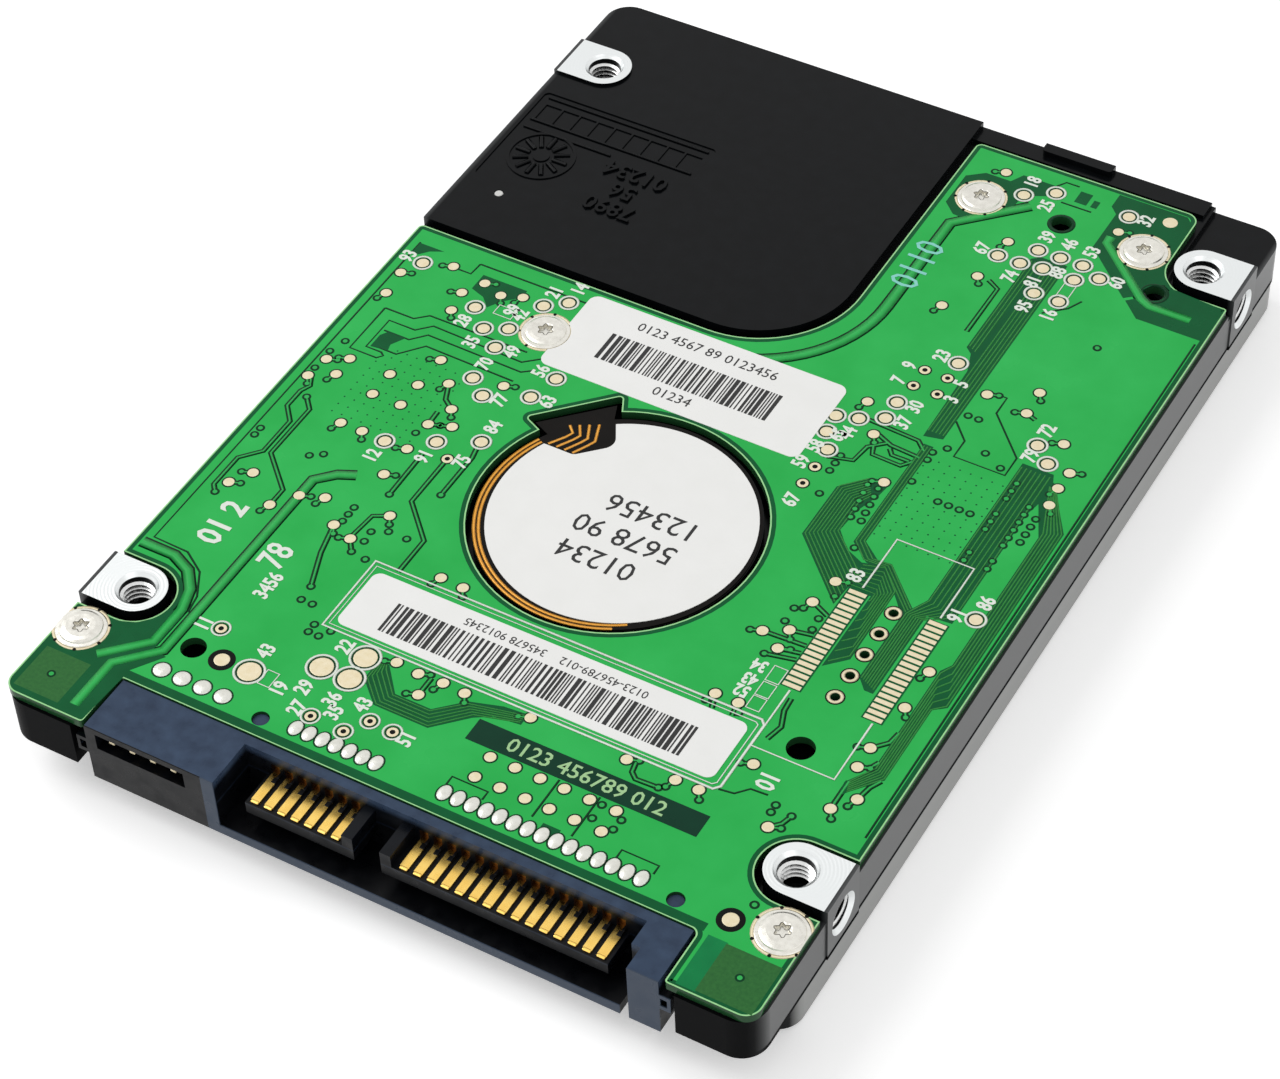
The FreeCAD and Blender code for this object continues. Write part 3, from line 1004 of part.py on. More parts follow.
pad(seal, BOARD_TOP, "(%s + dim.sticker)" % BOARD_TOP, [
    ("-15.8", "(%s + 13.2)" % SPIN_Y, "0.9"), ("9.9", "(%s + 13.2)" % SPIN_Y, "0.9"),
    ("9.9", "(%s - 0.8)" % BOARD_EDGE, "0.9"),
    ("-15.8", "(%s - 0.8)" % BOARD_EDGE, "0.9")])
pocket(seal, BOARD_TOP, "(%s + dim.sticker)" % BOARD_TOP,
       circles=[BOARD_SCREWS[2] + ("(dim.board_washer + 0.05)",)])
plate = keep(new_body("board_label"))
pad(plate, BOARD_TOP, "(%s + dim.sticker)" % BOARD_TOP, [
    ("-14.6", "(%s - 21)" % SPIN_Y, "0.8"), ("20.7", "(%s - 21)" % SPIN_Y, "0.8"),
    ("20.7", "(%s - 14.6)" % SPIN_Y, "0.8"),
    ("-14.6", "(%s - 14.6)" % SPIN_Y, "0.8")])

# ---------------------------------------------------------------- connector
# Moulded housing with two keyed tongues, open above them, and a jumper block on the left.
TONGUE_FRONT, LIP_FRONT = "(%s + dim.tongue_set)" % FRONT, "(%s + 0.1)" % FRONT
DECK_Z = "(%s - 0.15)" % BOARD_TOP
TAIL_BAR = "(%s + 1.5)" % PLUG_BACK
SIGNAL_L = "(dim.signal_first - dim.tongue_side)"
SIGNAL_R = "(dim.signal_first + 6 * dim.pitch + dim.key_wide + 0.85)"
POWER_L = "(dim.power_first - dim.key_wide - 0.95)"
POWER_R = "(dim.power_first + 14 * dim.pitch + dim.tongue_side)"
GAP_L, GAP_R = "(%s - 2)" % SIGNAL_L, "(%s + 1.6)" % POWER_R
UNDER_TONGUE = "(dim.tongue_top - dim.tongue_thick)"
FLOOR_Z = "(dim.tongue_top - dim.tongue_thick - 1.6)"
LEG_TOP = "(dim.tongue_top + dim.key_high)"
WIRE_LOW, WIRE_HIGH = "(%s - 0.7)" % BOARD_UNDER, "(%s - 0.7 + dim.contact_thick)" % BOARD_UNDER
PIN_LOW, PIN_HIGH = "(%s - 0.95)" % BOARD_UNDER, "(%s - 0.45)" % BOARD_UNDER
JUMPER_L, JUMPER_R = "(dim.jumper_first - 1.2)", "(dim.jumper_first + 3 * dim.jumper_pitch + 1.4)"

solid_blocks = [
    block(HOUSE_L, GAP_L, LIP_FRONT, PLUG_BACK, "(%s - dim.plug_lip)" % FLOOR_Z, DECK_Z),
    block(GAP_R, HOUSE_R, LIP_FRONT, PLUG_BACK, "(%s - dim.plug_lip)" % FLOOR_Z, DECK_Z),
    block(GAP_L, GAP_R, "(%s - dim.plug_back_wall)" % PLUG_BACK, PLUG_BACK, "(%s - dim.plug_lip)" % FLOOR_Z,
          DECK_Z),
    block(GAP_L, GAP_R, LIP_FRONT, PLUG_BACK, "(%s - dim.plug_lip)" % FLOOR_Z, FLOOR_Z),
    block(SIGNAL_L, SIGNAL_R, TONGUE_FRONT, PLUG_BACK, UNDER_TONGUE, "dim.tongue_top"),
    block("(%s - dim.key_wide)" % SIGNAL_R, SIGNAL_R, TONGUE_FRONT, PLUG_BACK, UNDER_TONGUE, LEG_TOP),
    block(POWER_L, POWER_R, TONGUE_FRONT, PLUG_BACK, UNDER_TONGUE, "dim.tongue_top"),
    block(POWER_L, "(%s + dim.key_wide)" % POWER_L, TONGUE_FRONT, PLUG_BACK, UNDER_TONGUE, LEG_TOP),
    block(HOUSE_L, HOUSE_R, PLUG_BACK, TAIL_BAR, FLOOR_OUT, BOARD_UNDER),
    block("(-dim.plug_left)", HOUSE_L, LIP_FRONT, "(%s + 1.5)" % LIP_FRONT, "(%s - 2.6)" % BOARD_UNDER,
          "(%s - 0.9)" % BOARD_UNDER),
    block(HOUSE_R, EAR_R, LIP_FRONT, "(%s + 1.5)" % LIP_FRONT, "(%s - 2.6)" % BOARD_UNDER,
          "(%s - 0.9)" % BOARD_UNDER),
] + [cylinder(x, y, FLOOR_OUT, "(%s - 0.3)" % BOARD_TOP, "0.7") for x, y in PEGS]
WINDOWS = [("dim.signal_first", 7), ("dim.power_first", 15)]
hollows = [
    block(JUMPER_L, JUMPER_R, "(%s - 1)" % LIP_FRONT, "(%s - 1.1)" % PLUG_BACK, "(%s - 1.6)" % BOARD_UNDER,
          "(%s + 0.1)" % BOARD_UNDER),
    block(GAP_R, "(%s + 0.8)" % GAP_R, "(%s - 1)" % LIP_FRONT, "(%s + 2.2)" % LIP_FRONT,
          "(%s - 1.1)" % FLOOR_Z, "(%s + 1)" % DECK_Z),
    block("(0.3 - dim.plug_left)", "(%s - 0.1)" % HOUSE_L, "(%s - 1)" % LIP_FRONT, "(%s + 2)" % LIP_FRONT,
          "(%s - 2.2)" % BOARD_UNDER, "(%s - 1.3)" % BOARD_UNDER),
    block("(%s + 0.1)" % HOUSE_R, "(%s - 0.3)" % EAR_R, "(%s - 1)" % LIP_FRONT, "(%s + 2)" % LIP_FRONT,
          "(%s - 2.2)" % BOARD_UNDER, "(%s - 1.3)" % BOARD_UNDER),
]
for first, count in WINDOWS:
    for index in range(count):
        x = "%s + %d * dim.pitch" % (first, index)
        hollows.append(block("(%s - dim.contact_wide / 2)" % x, "(%s + dim.contact_wide / 2)" % x,
                             "(%s - dim.plug_back_wall - 0.01)" % PLUG_BACK, "(%s + 0.01)" % TAIL_BAR,
                             "dim.tongue_top", WIRE_HIGH))
for index in range(4):
    x = "dim.jumper_first + %d * dim.jumper_pitch" % index
    hollows.append(block("(%s - dim.jumper_half)" % x, "(%s + dim.jumper_half)" % x,
                         "(%s - 1.2)" % PLUG_BACK, "(%s + 0.01)" % TAIL_BAR, PIN_LOW, PIN_HIGH))
keep(cut(fuse(*solid_blocks), *hollows), "connector_housing")


def contact(x):
    """A gold contact: flat on the tongue, up through the housing and into the board."""
    low, high = "(%s - dim.contact_wide / 2)" % x, "(%s + dim.contact_wide / 2)" % x
    bend = "(%s - 0.5)" % PLUG_BACK
    thin_low, thin_high = "(%s - dim.tail_half)" % x, "(%s + dim.tail_half)" % x
    return fuse(
        block(low, high, "(%s + 0.4)" % TONGUE_FRONT, "(%s + dim.contact_thick)" % bend, "dim.tongue_top",
              "(dim.tongue_top + dim.contact_thick)"),
        block(low, high, bend, "(%s + dim.contact_thick)" % bend, "dim.tongue_top", WIRE_HIGH),
        block(low, high, bend, TAIL_BAR, WIRE_LOW, WIRE_HIGH),
        block(thin_low, thin_high, bend, "(%s + dim.tail_half)" % TAIL_Y, WIRE_LOW, WIRE_HIGH),
        block(thin_low, thin_high, "(%s - dim.tail_half)" % TAIL_Y, "(%s + dim.tail_half)" % TAIL_Y,
              WIRE_LOW, "(%s + dim.tail_proud)" % BOARD_TOP))


def jumper_pin(x):
    low, high = "(%s - dim.jumper_half)" % x, "(%s + dim.jumper_half)" % x
    return fuse(
        block(low, high, "(%s + 0.5)" % LIP_FRONT, "(%s + dim.tail_half)" % TAIL_Y, PIN_LOW, PIN_HIGH),
        block("(%s - dim.tail_half)" % x, "(%s + dim.tail_half)" % x, "(%s - dim.tail_half)" % TAIL_Y,
              "(%s + dim.tail_half)" % TAIL_Y, PIN_LOW, "(%s + dim.tail_proud)" % BOARD_TOP))


keep(group("signal_contacts", [contact("(dim.signal_first + %d * dim.pitch)" % i) for i in range(7)]))
keep(group("power_contacts", [contact("(dim.power_first + %d * dim.pitch)" % i) for i in range(15)]))
keep(group("jumper_pins", [jumper_pin("(dim.jumper_first + %d * dim.jumper_pitch)" % i) for i in range(4)]))

# ---------------------------------------------------------------- check and write
doc.recompute()
for item in doc.Objects:
    if any(state in ("Invalid", "Error") for state in item.State):
        raise RuntimeError("%s (%s) failed: %s" % (item.Label, item.Name, item.State))
os.makedirs("parts", exist_ok=True)
for item in PARTS:
    shape = item.Shape
    if shape.isNull() or not shape.isValid() or not shape.Solids:
        raise RuntimeError("%s has no valid solid" % item.Label)
    shape.exportStep("parts/%s.step" % item.Label)
    print("%-22s solids %2d  volume %9.2f" % (item.Label, len(shape.Solids), shape.Volume))
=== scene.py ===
import math
import random

import bmesh
import bpy
from mathutils import Matrix, Vector


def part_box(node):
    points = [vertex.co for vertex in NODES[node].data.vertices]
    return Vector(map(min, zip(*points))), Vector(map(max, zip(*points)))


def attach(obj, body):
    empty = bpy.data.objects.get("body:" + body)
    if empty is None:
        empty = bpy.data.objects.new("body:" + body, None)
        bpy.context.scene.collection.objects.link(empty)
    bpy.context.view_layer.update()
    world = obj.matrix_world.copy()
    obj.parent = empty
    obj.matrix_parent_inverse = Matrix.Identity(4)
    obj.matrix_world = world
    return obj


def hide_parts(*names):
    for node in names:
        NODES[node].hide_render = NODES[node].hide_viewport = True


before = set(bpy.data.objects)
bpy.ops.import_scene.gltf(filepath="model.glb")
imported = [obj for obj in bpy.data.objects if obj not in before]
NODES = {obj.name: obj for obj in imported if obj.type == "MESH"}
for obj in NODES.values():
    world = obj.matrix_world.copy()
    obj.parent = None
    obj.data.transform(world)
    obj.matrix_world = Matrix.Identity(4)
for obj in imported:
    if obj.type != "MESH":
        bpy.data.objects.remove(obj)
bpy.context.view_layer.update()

# ---------------------------------------------------------------- the case
# One pressure die casting in aluminium, painted gloss black. The lug tops, the hole
# mouths and the threads are machined after painting, so they are bare metal.
MM = 0.001


def linear(code):
    """An sRGB hex colour as linear red, green, blue and alpha."""
    parts = [int(code[i:i + 2], 16) / 255 for i in (0, 2, 4)]
    return [c / 12.92 if c <= 0.04045 else ((c + 0.055) / 1.055) ** 2.4 for c in parts] + [1]


def feed(node, inputs):
    """Fill a node's inputs: a node or socket is linked, and a node gives its first output."""
    for name, value in inputs.items():
        if isinstance(value, bpy.types.Node):
            value = next(out for out in value.outputs if out.enabled)
        if isinstance(value, bpy.types.NodeSocket):
            node.id_data.links.new(value, node.inputs[name])
        else:
            node.inputs[name].default_value = value


def add(tree, kind, inputs=(), **settings):
    """Add a node with its own settings and inputs."""
    made = tree.nodes.new("ShaderNode" + kind)
    for name, value in settings.items():
        setattr(made, name, value)
    feed(made, dict(inputs))
    return made


def finish(name, light, dark, grain, rough, metallic=0.0, bump=0.0, stretch=(1, 1, 1), specular=0.5,
           spread=0.06):
    """A finish between two colours whose gloss wanders too, over grains of a size in mm."""
    made = bpy.data.materials.new(name)
    made.use_nodes = True
    tree = made.node_tree
    scaled = add(tree, "Mapping", {"Vector": add(tree, "TexCoord").outputs["Object"],
                                   "Scale": [s / (grain * MM) for s in stretch]})
    grains = add(tree, "TexNoise", {"Vector": scaled, "Scale": 1.0, "Detail": 4.0})
    tint = add(tree, "Mix", {"Factor": grains, "A": linear(dark), "B": linear(light)}, data_type="RGBA")
    gloss = add(tree, "MapRange", {"Value": grains, "From Min": 0.3, "From Max": 0.7,
                                   "To Min": max(0.02, rough - spread), "To Max": rough + spread})
    shader = tree.nodes["Principled BSDF"]
    feed(shader, {"Base Color": tint, "Roughness": gloss, "Metallic": metallic})
    if not metallic:
        feed(shader, {"Specular IOR Level": specular})
    if bump:
        feed(shader, {"Normal": add(tree, "Bump", {"Height": grains, "Distance": bump * MM})})
    return made


def dress(material, *names):
    """Give CAD nodes their finish."""
    for name in names:
        NODES[name].data.materials.clear()
        NODES[name].data.materials.append(material)


# gloss paint on a casting: a hard black skin with a faint orange peel about 1.5 mm wide
case_paint = finish("gloss_black_paint", "0C0E11", "050607", 1.5, 0.2, bump=0.005, specular=0.12)
tree = case_paint.node_tree
LUG_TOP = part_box("base_casting")[1].z
HOLE_X, HOLE_MIDDLE, HOLE_SPAN, SIDE_Z, THREAD_R = 30.86, 2.2, 38.3, 6.5, 1.5
# a hole's countersunk mouth, where the side holes begin inside, and where the lug tops end
MOUTH, SIDE_HOLE_IN, LUG_OUT = (THREAD_R + 0.36) * MM, 31.8 * MM, 34.6 * MM
at_x, at_y, at_z = add(tree, "SeparateXYZ", {0: add(tree, "TexCoord").outputs["Object"]}).outputs
across = add(tree, "Math", {0: at_x}, operation="ABSOLUTE")
past = add(tree, "Math", {0: at_y, 1: HOLE_MIDDLE * MM}, operation="SUBTRACT")
folded = add(tree, "Math", {0: past}, operation="ABSOLUTE")
along = add(tree, "Math", {0: folded, 1: HOLE_SPAN * MM}, operation="SUBTRACT")
aside = add(tree, "Math", {0: across, 1: HOLE_X * MM}, operation="SUBTRACT")
above = add(tree, "Math", {0: at_z, 1: SIDE_Z * MM}, operation="SUBTRACT")
upright = add(tree, "CombineXYZ", {0: aside, 1: along})
level = add(tree, "CombineXYZ", {0: above, 1: along})
from_upright = add(tree, "VectorMath", {0: upright}, operation="LENGTH")
from_level = add(tree, "VectorMath", {0: level}, operation="LENGTH")
in_upright = add(tree, "Math", {0: from_upright, 1: MOUTH}, operation="LESS_THAN")
in_level = add(tree, "Math", {0: from_level, 1: MOUTH}, operation="LESS_THAN")
outside = add(tree, "Math", {0: across, 1: SIDE_HOLE_IN}, operation="GREATER_THAN")
side_hole = add(tree, "Math", {0: in_level, 1: outside}, operation="MULTIPLY")
topmost = add(tree, "Math", {0: at_z, 1: LUG_TOP - 0.03 * MM}, operation="GREATER_THAN")
inside = add(tree, "Math", {0: across, 1: LUG_OUT}, operation="LESS_THAN")
on_top = add(tree, "Math", {0: topmost, 1: inside}, operation="MULTIPLY")
holes = add(tree, "Math", {0: in_upright, 1: side_hole}, operation="MAXIMUM")
bare = add(tree, "Math", {0: holes, 1: on_top}, operation="MAXIMUM")
# milled aluminium: bright, with cutter marks 0.3 mm apart round each upright hole, and dark grey down a hole
# as painted shade
MARKS, IN_LIGHT_Z, IN_LIGHT_X = 0.3 * MM, LUG_TOP - 0.32 * MM, 34.55 * MM
grit = add(tree, "TexNoise", {"Vector": add(tree, "TexCoord").outputs["Object"], "Scale": 2 / MARKS,
                              "Detail": 2.0})
circling = add(tree, "Math", {0: from_upright, 1: math.tau / MARKS}, operation="MULTIPLY")
circles = add(tree, "Math", {0: circling}, operation="SINE")
cutter = add(tree, "Math", {0: circles, 1: grit}, operation="ADD")
near_top = add(tree, "Math", {0: at_z, 1: IN_LIGHT_Z}, operation="GREATER_THAN")
near_side = add(tree, "Math", {0: across, 1: IN_LIGHT_X}, operation="GREATER_THAN")
in_light = add(tree, "Math", {0: near_top, 1: near_side}, operation="MAXIMUM")
# painted shade: the metal below the lug top and inside the side face is dark grey
depth = add(tree, "Mix", {"Factor": in_light, "A": linear("2E2F30"), "B": linear("E6E9E9")}, data_type="RGBA")
scratched = add(tree, "Bump", {"Height": cutter, "Distance": 0.004 * MM})
metal = add(tree, "BsdfPrincipled", {"Base Color": depth, "Metallic": 1.0, "Roughness": 0.34,
                                     "Normal": scratched})
# the two long sides get a lighter grey paint, a painted reflection of the floor beside them, down to a black
# line along the cover
COVER_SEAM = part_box("top_cover")[1].z
LINE_HIGH, SIDE_FROM, SIDE_TO = COVER_SEAM + 0.75 * MM, 34.3 * MM, 34.85 * MM
face = add(tree, "MapRange", {"Value": across, "From Min": SIDE_FROM, "From Max": SIDE_TO})
over_line = add(tree, "Math", {0: at_z, 1: LINE_HIGH}, operation="GREATER_THAN")
reflection_share = add(tree, "Math", {0: face, 1: over_line}, operation="MULTIPLY")
side_reflection_paint = add(tree, "BsdfPrincipled", {"Base Color": linear("3A3C3D"), "Roughness": 0.3})
with_side_reflection = add(tree, "MixShader", {0: reflection_share, 1: tree.nodes["Principled BSDF"], 2: side_reflection_paint})
# the parting line and the front wall are painted a dull near black that sends no light back: a painted shadow
# in the seam along the cover, and painted shade on the front wall
dull = add(tree, "BsdfPrincipled", {"Base Color": linear("050506"), "Roughness": 0.8,
                                    "Specular IOR Level": 0.02})
seam_shadow = add(tree, "Math", {0: face, 1: reflection_share}, operation="SUBTRACT")
FRONT_FROM, FRONT_TO = -47.5 * MM, -49.6 * MM
front_wall_shade = add(tree, "MapRange", {"Value": at_y, "From Min": FRONT_FROM, "From Max": FRONT_TO,
                                    "To Max": 0.8})
shade_share = add(tree, "Math", {0: seam_shadow, 1: front_wall_shade}, operation="MAXIMUM")
painted = add(tree, "MixShader", {0: shade_share, 1: with_side_reflection, 2: dull})
both = add(tree, "MixShader", {0: bare, 1: painted, 2: metal})
feed(tree.nodes["Material Output"], {"Surface": both})
dress(case_paint, "base_casting")

# ---------------------------------------------------------------- threads of the mounting holes
# Eight M3 threads are tapped into the lugs, four from above and four from the sides.
# Each is a ridge of pitch 0.5 mm that winds up the wall of its hole.
PITCH, CREST, ROOT_GAP, TURN_STEPS = 0.5, 1.24, 0.12, 24


def piece(name, bm, material, body="root"):
    """Make a mesh in millimetres a piece of the drive."""
    bmesh.ops.scale(bm, vec=(MM, MM, MM), verts=bm.verts)
    mesh = bpy.data.meshes.new(name)
    bm.to_mesh(mesh)
    bm.free()
    mesh.materials.append(material)
    made = bpy.data.objects.new(name, mesh)
    bpy.context.scene.collection.objects.link(made)
    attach(made, body)
    return made


def wind_thread(bm, matrix, turns):
    """A threaded ridge from the origin up +Z, put in place by a matrix."""
    part = bmesh.new()
    corners = [part.verts.new((r, 0, z))
               for r, z in ((THREAD_R, ROOT_GAP), (CREST, PITCH / 2), (THREAD_R, PITCH - ROOT_GAP))]
    loop = [part.edges.new((corners[i - 1], corners[i])) for i in range(3)]
    bmesh.ops.spin(part, geom=corners + loop, cent=(0, 0, 0), axis=(0, 0, 1), angle=turns * math.tau,
                   steps=int(turns * TURN_STEPS), dvec=(0, 0, PITCH / TURN_STEPS), use_merge=False)
    bmesh.ops.holes_fill(part, edges=[e for e in part.edges if e.is_boundary], sides=3)
    bmesh.ops.recalc_face_normals(part, faces=part.faces)
    bmesh.ops.transform(part, matrix=matrix, verts=part.verts)
    mesh = bpy.data.meshes.new("turns")
    part.to_mesh(mesh)
    part.free()
    bm.from_mesh(mesh)
    bpy.data.meshes.remove(mesh)


# tapped aluminium: bright flanks, a little uneven from the tool
thread_metal = finish("tapped_aluminium", "F2F2F0", "C9CBCC", 0.3, 0.28, metallic=1.0)
threads = bmesh.new()
LUG_HOLE_LOW, SIDE_HOLE_DEEP = 6.6, 32.5
for y in (HOLE_MIDDLE - HOLE_SPAN, HOLE_MIDDLE + HOLE_SPAN):
    for side in (-1, 1):
        wind_thread(threads, Matrix.Translation((side * HOLE_X, y, LUG_HOLE_LOW)), 4)
        turned = Matrix.Rotation(side * math.pi / 2, 4, "Y")
        wind_thread(threads, Matrix.Translation((side * SIDE_HOLE_DEEP, y, SIDE_Z)) @ turned, 3.4)
piece("mounting_threads", threads, thread_metal)

# ---------------------------------------------------------------- cast marks on the deck
# The mould leaves a raised casting clock with petals, rows of small cells and plain
# figures on the deck. They are part of the casting and under the same paint.
DECK = 9.2
CLOCK_X, CLOCK_Y, PETALS = -29.7, 26.8, 12
LOW_Z, MARK_HIGH = DECK - 0.03, 0.2


def bar(bm, x0, x1, y0, y1, z0, z1, soft=0.0):
    """A block between two corners, in millimetres, with its upright and top edges eased."""
    middle = Matrix.Translation(((x0 + x1) / 2, (y0 + y1) / 2, (z0 + z1) / 2))
    made = bmesh.ops.create_cube(bm, size=1, matrix=middle @ Matrix.Diagonal((x1 - x0, y1 - y0, z1 - z0, 1)))
    if soft:
        # each edge once, in the order met, so that every run gives the same mesh
        edges = dict.fromkeys(e for v in made["verts"] for e in v.link_edges)
        bmesh.ops.bevel(bm, geom=list(edges), offset=soft, offset_type="OFFSET", segments=2, profile=0.5,
                        affect="EDGES", material=-1)


def strokes(bm, paths, width, z, high=0.012, closed=False):
    """Lay flat strokes of a width along paths of (x, y) points, in millimetres."""
    line = bpy.data.curves.new("stroke", "CURVE")
    line.dimensions = "3D"
    line.bevel_depth = width / 2
    line.bevel_resolution = 0
    line.use_fill_caps = True
    for path in paths:
        spline = line.splines.new("POLY")
        spline.points.add(len(path) - 1)
        for point, (x, y) in zip(spline.points, path):
            point.co = (x, y, 0, 1)
        spline.use_cyclic_u = closed
    lay(bm, line, Matrix.Translation((0, 0, z)) @ Matrix.Diagonal((1, 1, high / width, 1)))


def lay(bm, curve, matrix):
    """Add a curve or a text to a mesh in place."""
    holder = bpy.data.objects.new("holder", curve)
    mesh = bpy.data.meshes.new_from_object(holder)
    mesh.transform(matrix)
    bm.from_mesh(mesh)
    bpy.data.meshes.remove(mesh)
    bpy.data.objects.remove(holder)


def figures(bm, text, x, y, size, z, turn=0.0, high=0.012, bold=0.0, narrow=1.0):
    """Plain figures of a size in millimetres, centred on x, y."""
    word = bpy.data.curves.new("figures", "FONT")
    word.body = text
    word.size = size
    word.align_x = "CENTER"
    word.align_y = "CENTER"
    word.extrude = high / 2
    word.offset = bold
    word.resolution_u = 2
    lay(bm, word, Matrix.Translation((x, y, z)) @ Matrix.Rotation(math.radians(turn), 4, "Z")
        @ Matrix.Diagonal((narrow, 1, 1, 1)))


def ring(x, y, r, steps=20, start=0.0, sweep=math.tau):
    """Points round an arc; a full turn leaves out the last, which is the first."""
    count = steps if sweep == math.tau else steps + 1
    return [(x + r * math.cos(start + sweep * i / steps), y + r * math.sin(start + sweep * i / steps))
            for i in range(count)]


cast = bmesh.new()
for index in range(PETALS):
    way = index * math.tau / PETALS
    petal = [(CLOCK_X + r * math.cos(way), CLOCK_Y + r * math.sin(way)) for r in (1.2, 2.7)]
    strokes(cast, [petal], 0.5, LOW_Z, high=MARK_HIGH)
strokes(cast, [[(-33.4, y), (x, y)] for x, y in ((-16.1, 34.4), (-16.1, 31), (-24, 29.8))], 0.3, LOW_Z,
        high=MARK_HIGH)
for text, x, y in (("01234", -20.4, 28.4), ("56", -20.4, 25.9), ("7890", -20.4, 23.4)):
    figures(cast, text, x, y, 2.6, DECK + 0.02, turn=180, high=0.16, bold=0.03)
piece("cast_marks", cast, case_paint)

# ---------------------------------------------------------------- spindle motor
# A brushless motor stands on the floor of the case: ground steel shaft and sleeve, a
# turned aluminium hub, a ring magnet in the hub, and a laminated stator wound with copper.
# ground steel: bright and smooth
ground_steel = finish("ground_steel", "B9BBBE", "8E9194", 0.3, 0.25, metallic=1.0)
# turned aluminium: pale and satin
turned_aluminium = finish("turned_aluminium", "D4D6D8", "AEB1B4", 0.4, 0.3, metallic=1.0, stretch=(1, 1, 6))
# nickel plating, on the magnets and the yokes: grey and glossy
magnet_skin = finish("nickel_plated_magnet", "A7A9AB", "85878A", 2.0, 0.2, metallic=1.0)
# silicon steel laminations, stacked 0.2 mm thick
lamination = finish("stator_lamination", "6E7276", "3F4347", 0.2, 0.4, metallic=1.0, stretch=(0.05, 0.05, 1))
# enamelled copper wire: glossy brown red, its turns about 0.15 mm across
winding = finish("enamelled_copper", "C0683A", "7A3516", 0.15, 0.3, metallic=1.0, bump=0.03,
                 stretch=(1, 1, 4))
dress(ground_steel, "motor_shaft", "bearing_sleeve", "bearing_cap", "disk_clamp")
dress(turned_aluminium, "motor_hub", "disk_spacer")
dress(magnet_skin, "rotor_magnet")
dress(lamination, "stator_core")
dress(winding, "stator_coils", "voice_coil")

# ---------------------------------------------------------------- disks
# Two disks of polished aluminium with a sputtered magnetic film and a carbon overcoat,
# so smooth that they are mirrors. A steel clamp and four screws press them on the hub.
disk_film = finish("sputtered_disk", "8C8E92", "7E8085", 20, 0.05, metallic=1.0, spread=0.01)
# nickel plated screws
screw_plate = finish("nickel_plated_screw", "F3F1E9", "CECBC2", 0.5, 0.28, metallic=1.0)
dress(disk_film, "cover_side_disk", "base_side_disk")
dress(screw_plate, "clamp_screws", "cover_screws")

# ---------------------------------------------------------------- arm and heads
# An extruded and machined aluminium block turns on a bearing cartridge. Stainless steel
# springs carry the four ceramic heads, and a polyimide circuit is glued to its side.
machined_block = finish("machined_aluminium", "D9DADC", "B4B7BA", 0.25, 0.3, metallic=1.0, bump=0.004,
                        stretch=(1, 8, 1))
spring_steel = finish("stainless_spring", "C4C5C6", "9FA1A3", 0.4, 0.2, metallic=1.0)
head_ceramic = finish("head_ceramic", "2B2A2C", "161517", 0.2, 0.35)
# moulded epoxy over a chip: matt black with a fine grit
chip_epoxy = finish("moulded_epoxy", "26272A", "141517", 0.12, 0.55, bump=0.01)
# polyimide film over copper: brown black, glossy
polyimide = finish("polyimide_film", "110C09", "070504", 1.2, 0.24, bump=0.003, specular=0.1)
dress(machined_block, "actuator_arm")
dress(ground_steel, "pivot_sleeve", "pivot_bearings", "pivot_shaft")
dress(spring_steel, "head_suspensions")
dress(head_ceramic, "read_write_heads")
dress(chip_epoxy, "head_preamplifier", "head_connector", "flex_bracket")
dress(polyimide, "arm_flex", "head_flex")

# ---------------------------------------------------------------- voice coil motor
# Two nickel plated steel yokes on two posts hold four magnets over and under the coil.
# Rubber sleeves on the posts stop the arm.
dress(magnet_skin, "cover_side_yoke", "base_side_yoke", "voice_coil_magnets")
dress(ground_steel, "yoke_posts", "latch_pin")
stop_rubber = finish("moulded_rubber", "1D1D1E", "0E0E0F", 0.3, 0.7, bump=0.01)
dress(stop_rubber, "crash_stops", "cover_gasket")

# ---------------------------------------------------------------- latch, ramp and filters
# The latch and the ramp are injection moulded in a pale low friction plastic. The two
# filters are pads of white electrostatic felt.
pale_plastic = finish("acetal", "E9E6DC", "D6D2C6", 0.8, 0.35)
felt = finish("filter_felt", "F0F0EE", "C9C9C6", 0.15, 0.9, bump=0.05)
dress(pale_plastic, "inertia_latch", "load_ramp")
dress(felt, "recirculation_filter", "breather_filter")

# the felt shows as a white dot in the breather hole of the deck
dot = bmesh.new()
bmesh.ops.create_cone(dot, cap_ends=True, segments=24, radius1=0.43, radius2=0.36, depth=0.1,
                      matrix=Matrix.Translation((-30.4, 20.4, DECK - 0.05)))
piece("breather_dot", dot, felt)

# ---------------------------------------------------------------- cover and its label
# The cover is deep drawn from steel sheet and painted black. Its paper label is bare
# except for a frame, bars and plain figures.
cover_paint = finish("black_sheet_paint", "0F1114", "08090B", 0.8, 0.24, bump=0.003, specular=0.08)
# the long sides of the cover are painted light grey, a painted reflection of the floor beside them
tree = cover_paint.node_tree
COVER_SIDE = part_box("top_cover")[1].x
at_x = add(tree, "SeparateXYZ", {0: add(tree, "TexCoord").outputs["Object"]}).outputs["X"]
across = add(tree, "Math", {0: at_x}, operation="ABSOLUTE")
face = add(tree, "MapRange", {"Value": across, "From Min": COVER_SIDE - 0.5 * MM,
                              "From Max": COVER_SIDE - 0.05 * MM})
side_reflection_grey = add(tree, "BsdfPrincipled", {"Base Color": linear("8C8D8B"), "Roughness": 0.3})
two_toned = add(tree, "MixShader", {0: face, 1: tree.nodes["Principled BSDF"], 2: side_reflection_grey})
feed(tree.nodes["Material Output"], {"Surface": two_toned})
dress(cover_paint, "top_cover")
# coated label paper: white, with a slight sheen
label_paper = finish("label_paper", "FCFCFA", "F5F5F2", 3.0, 0.42)
dress(label_paper, "cover_label")
# thermal print: dense black, dull
black_print = finish("black_print", "060607", "030304", 0.4, 0.5)
NARROW_BAR = 0.13


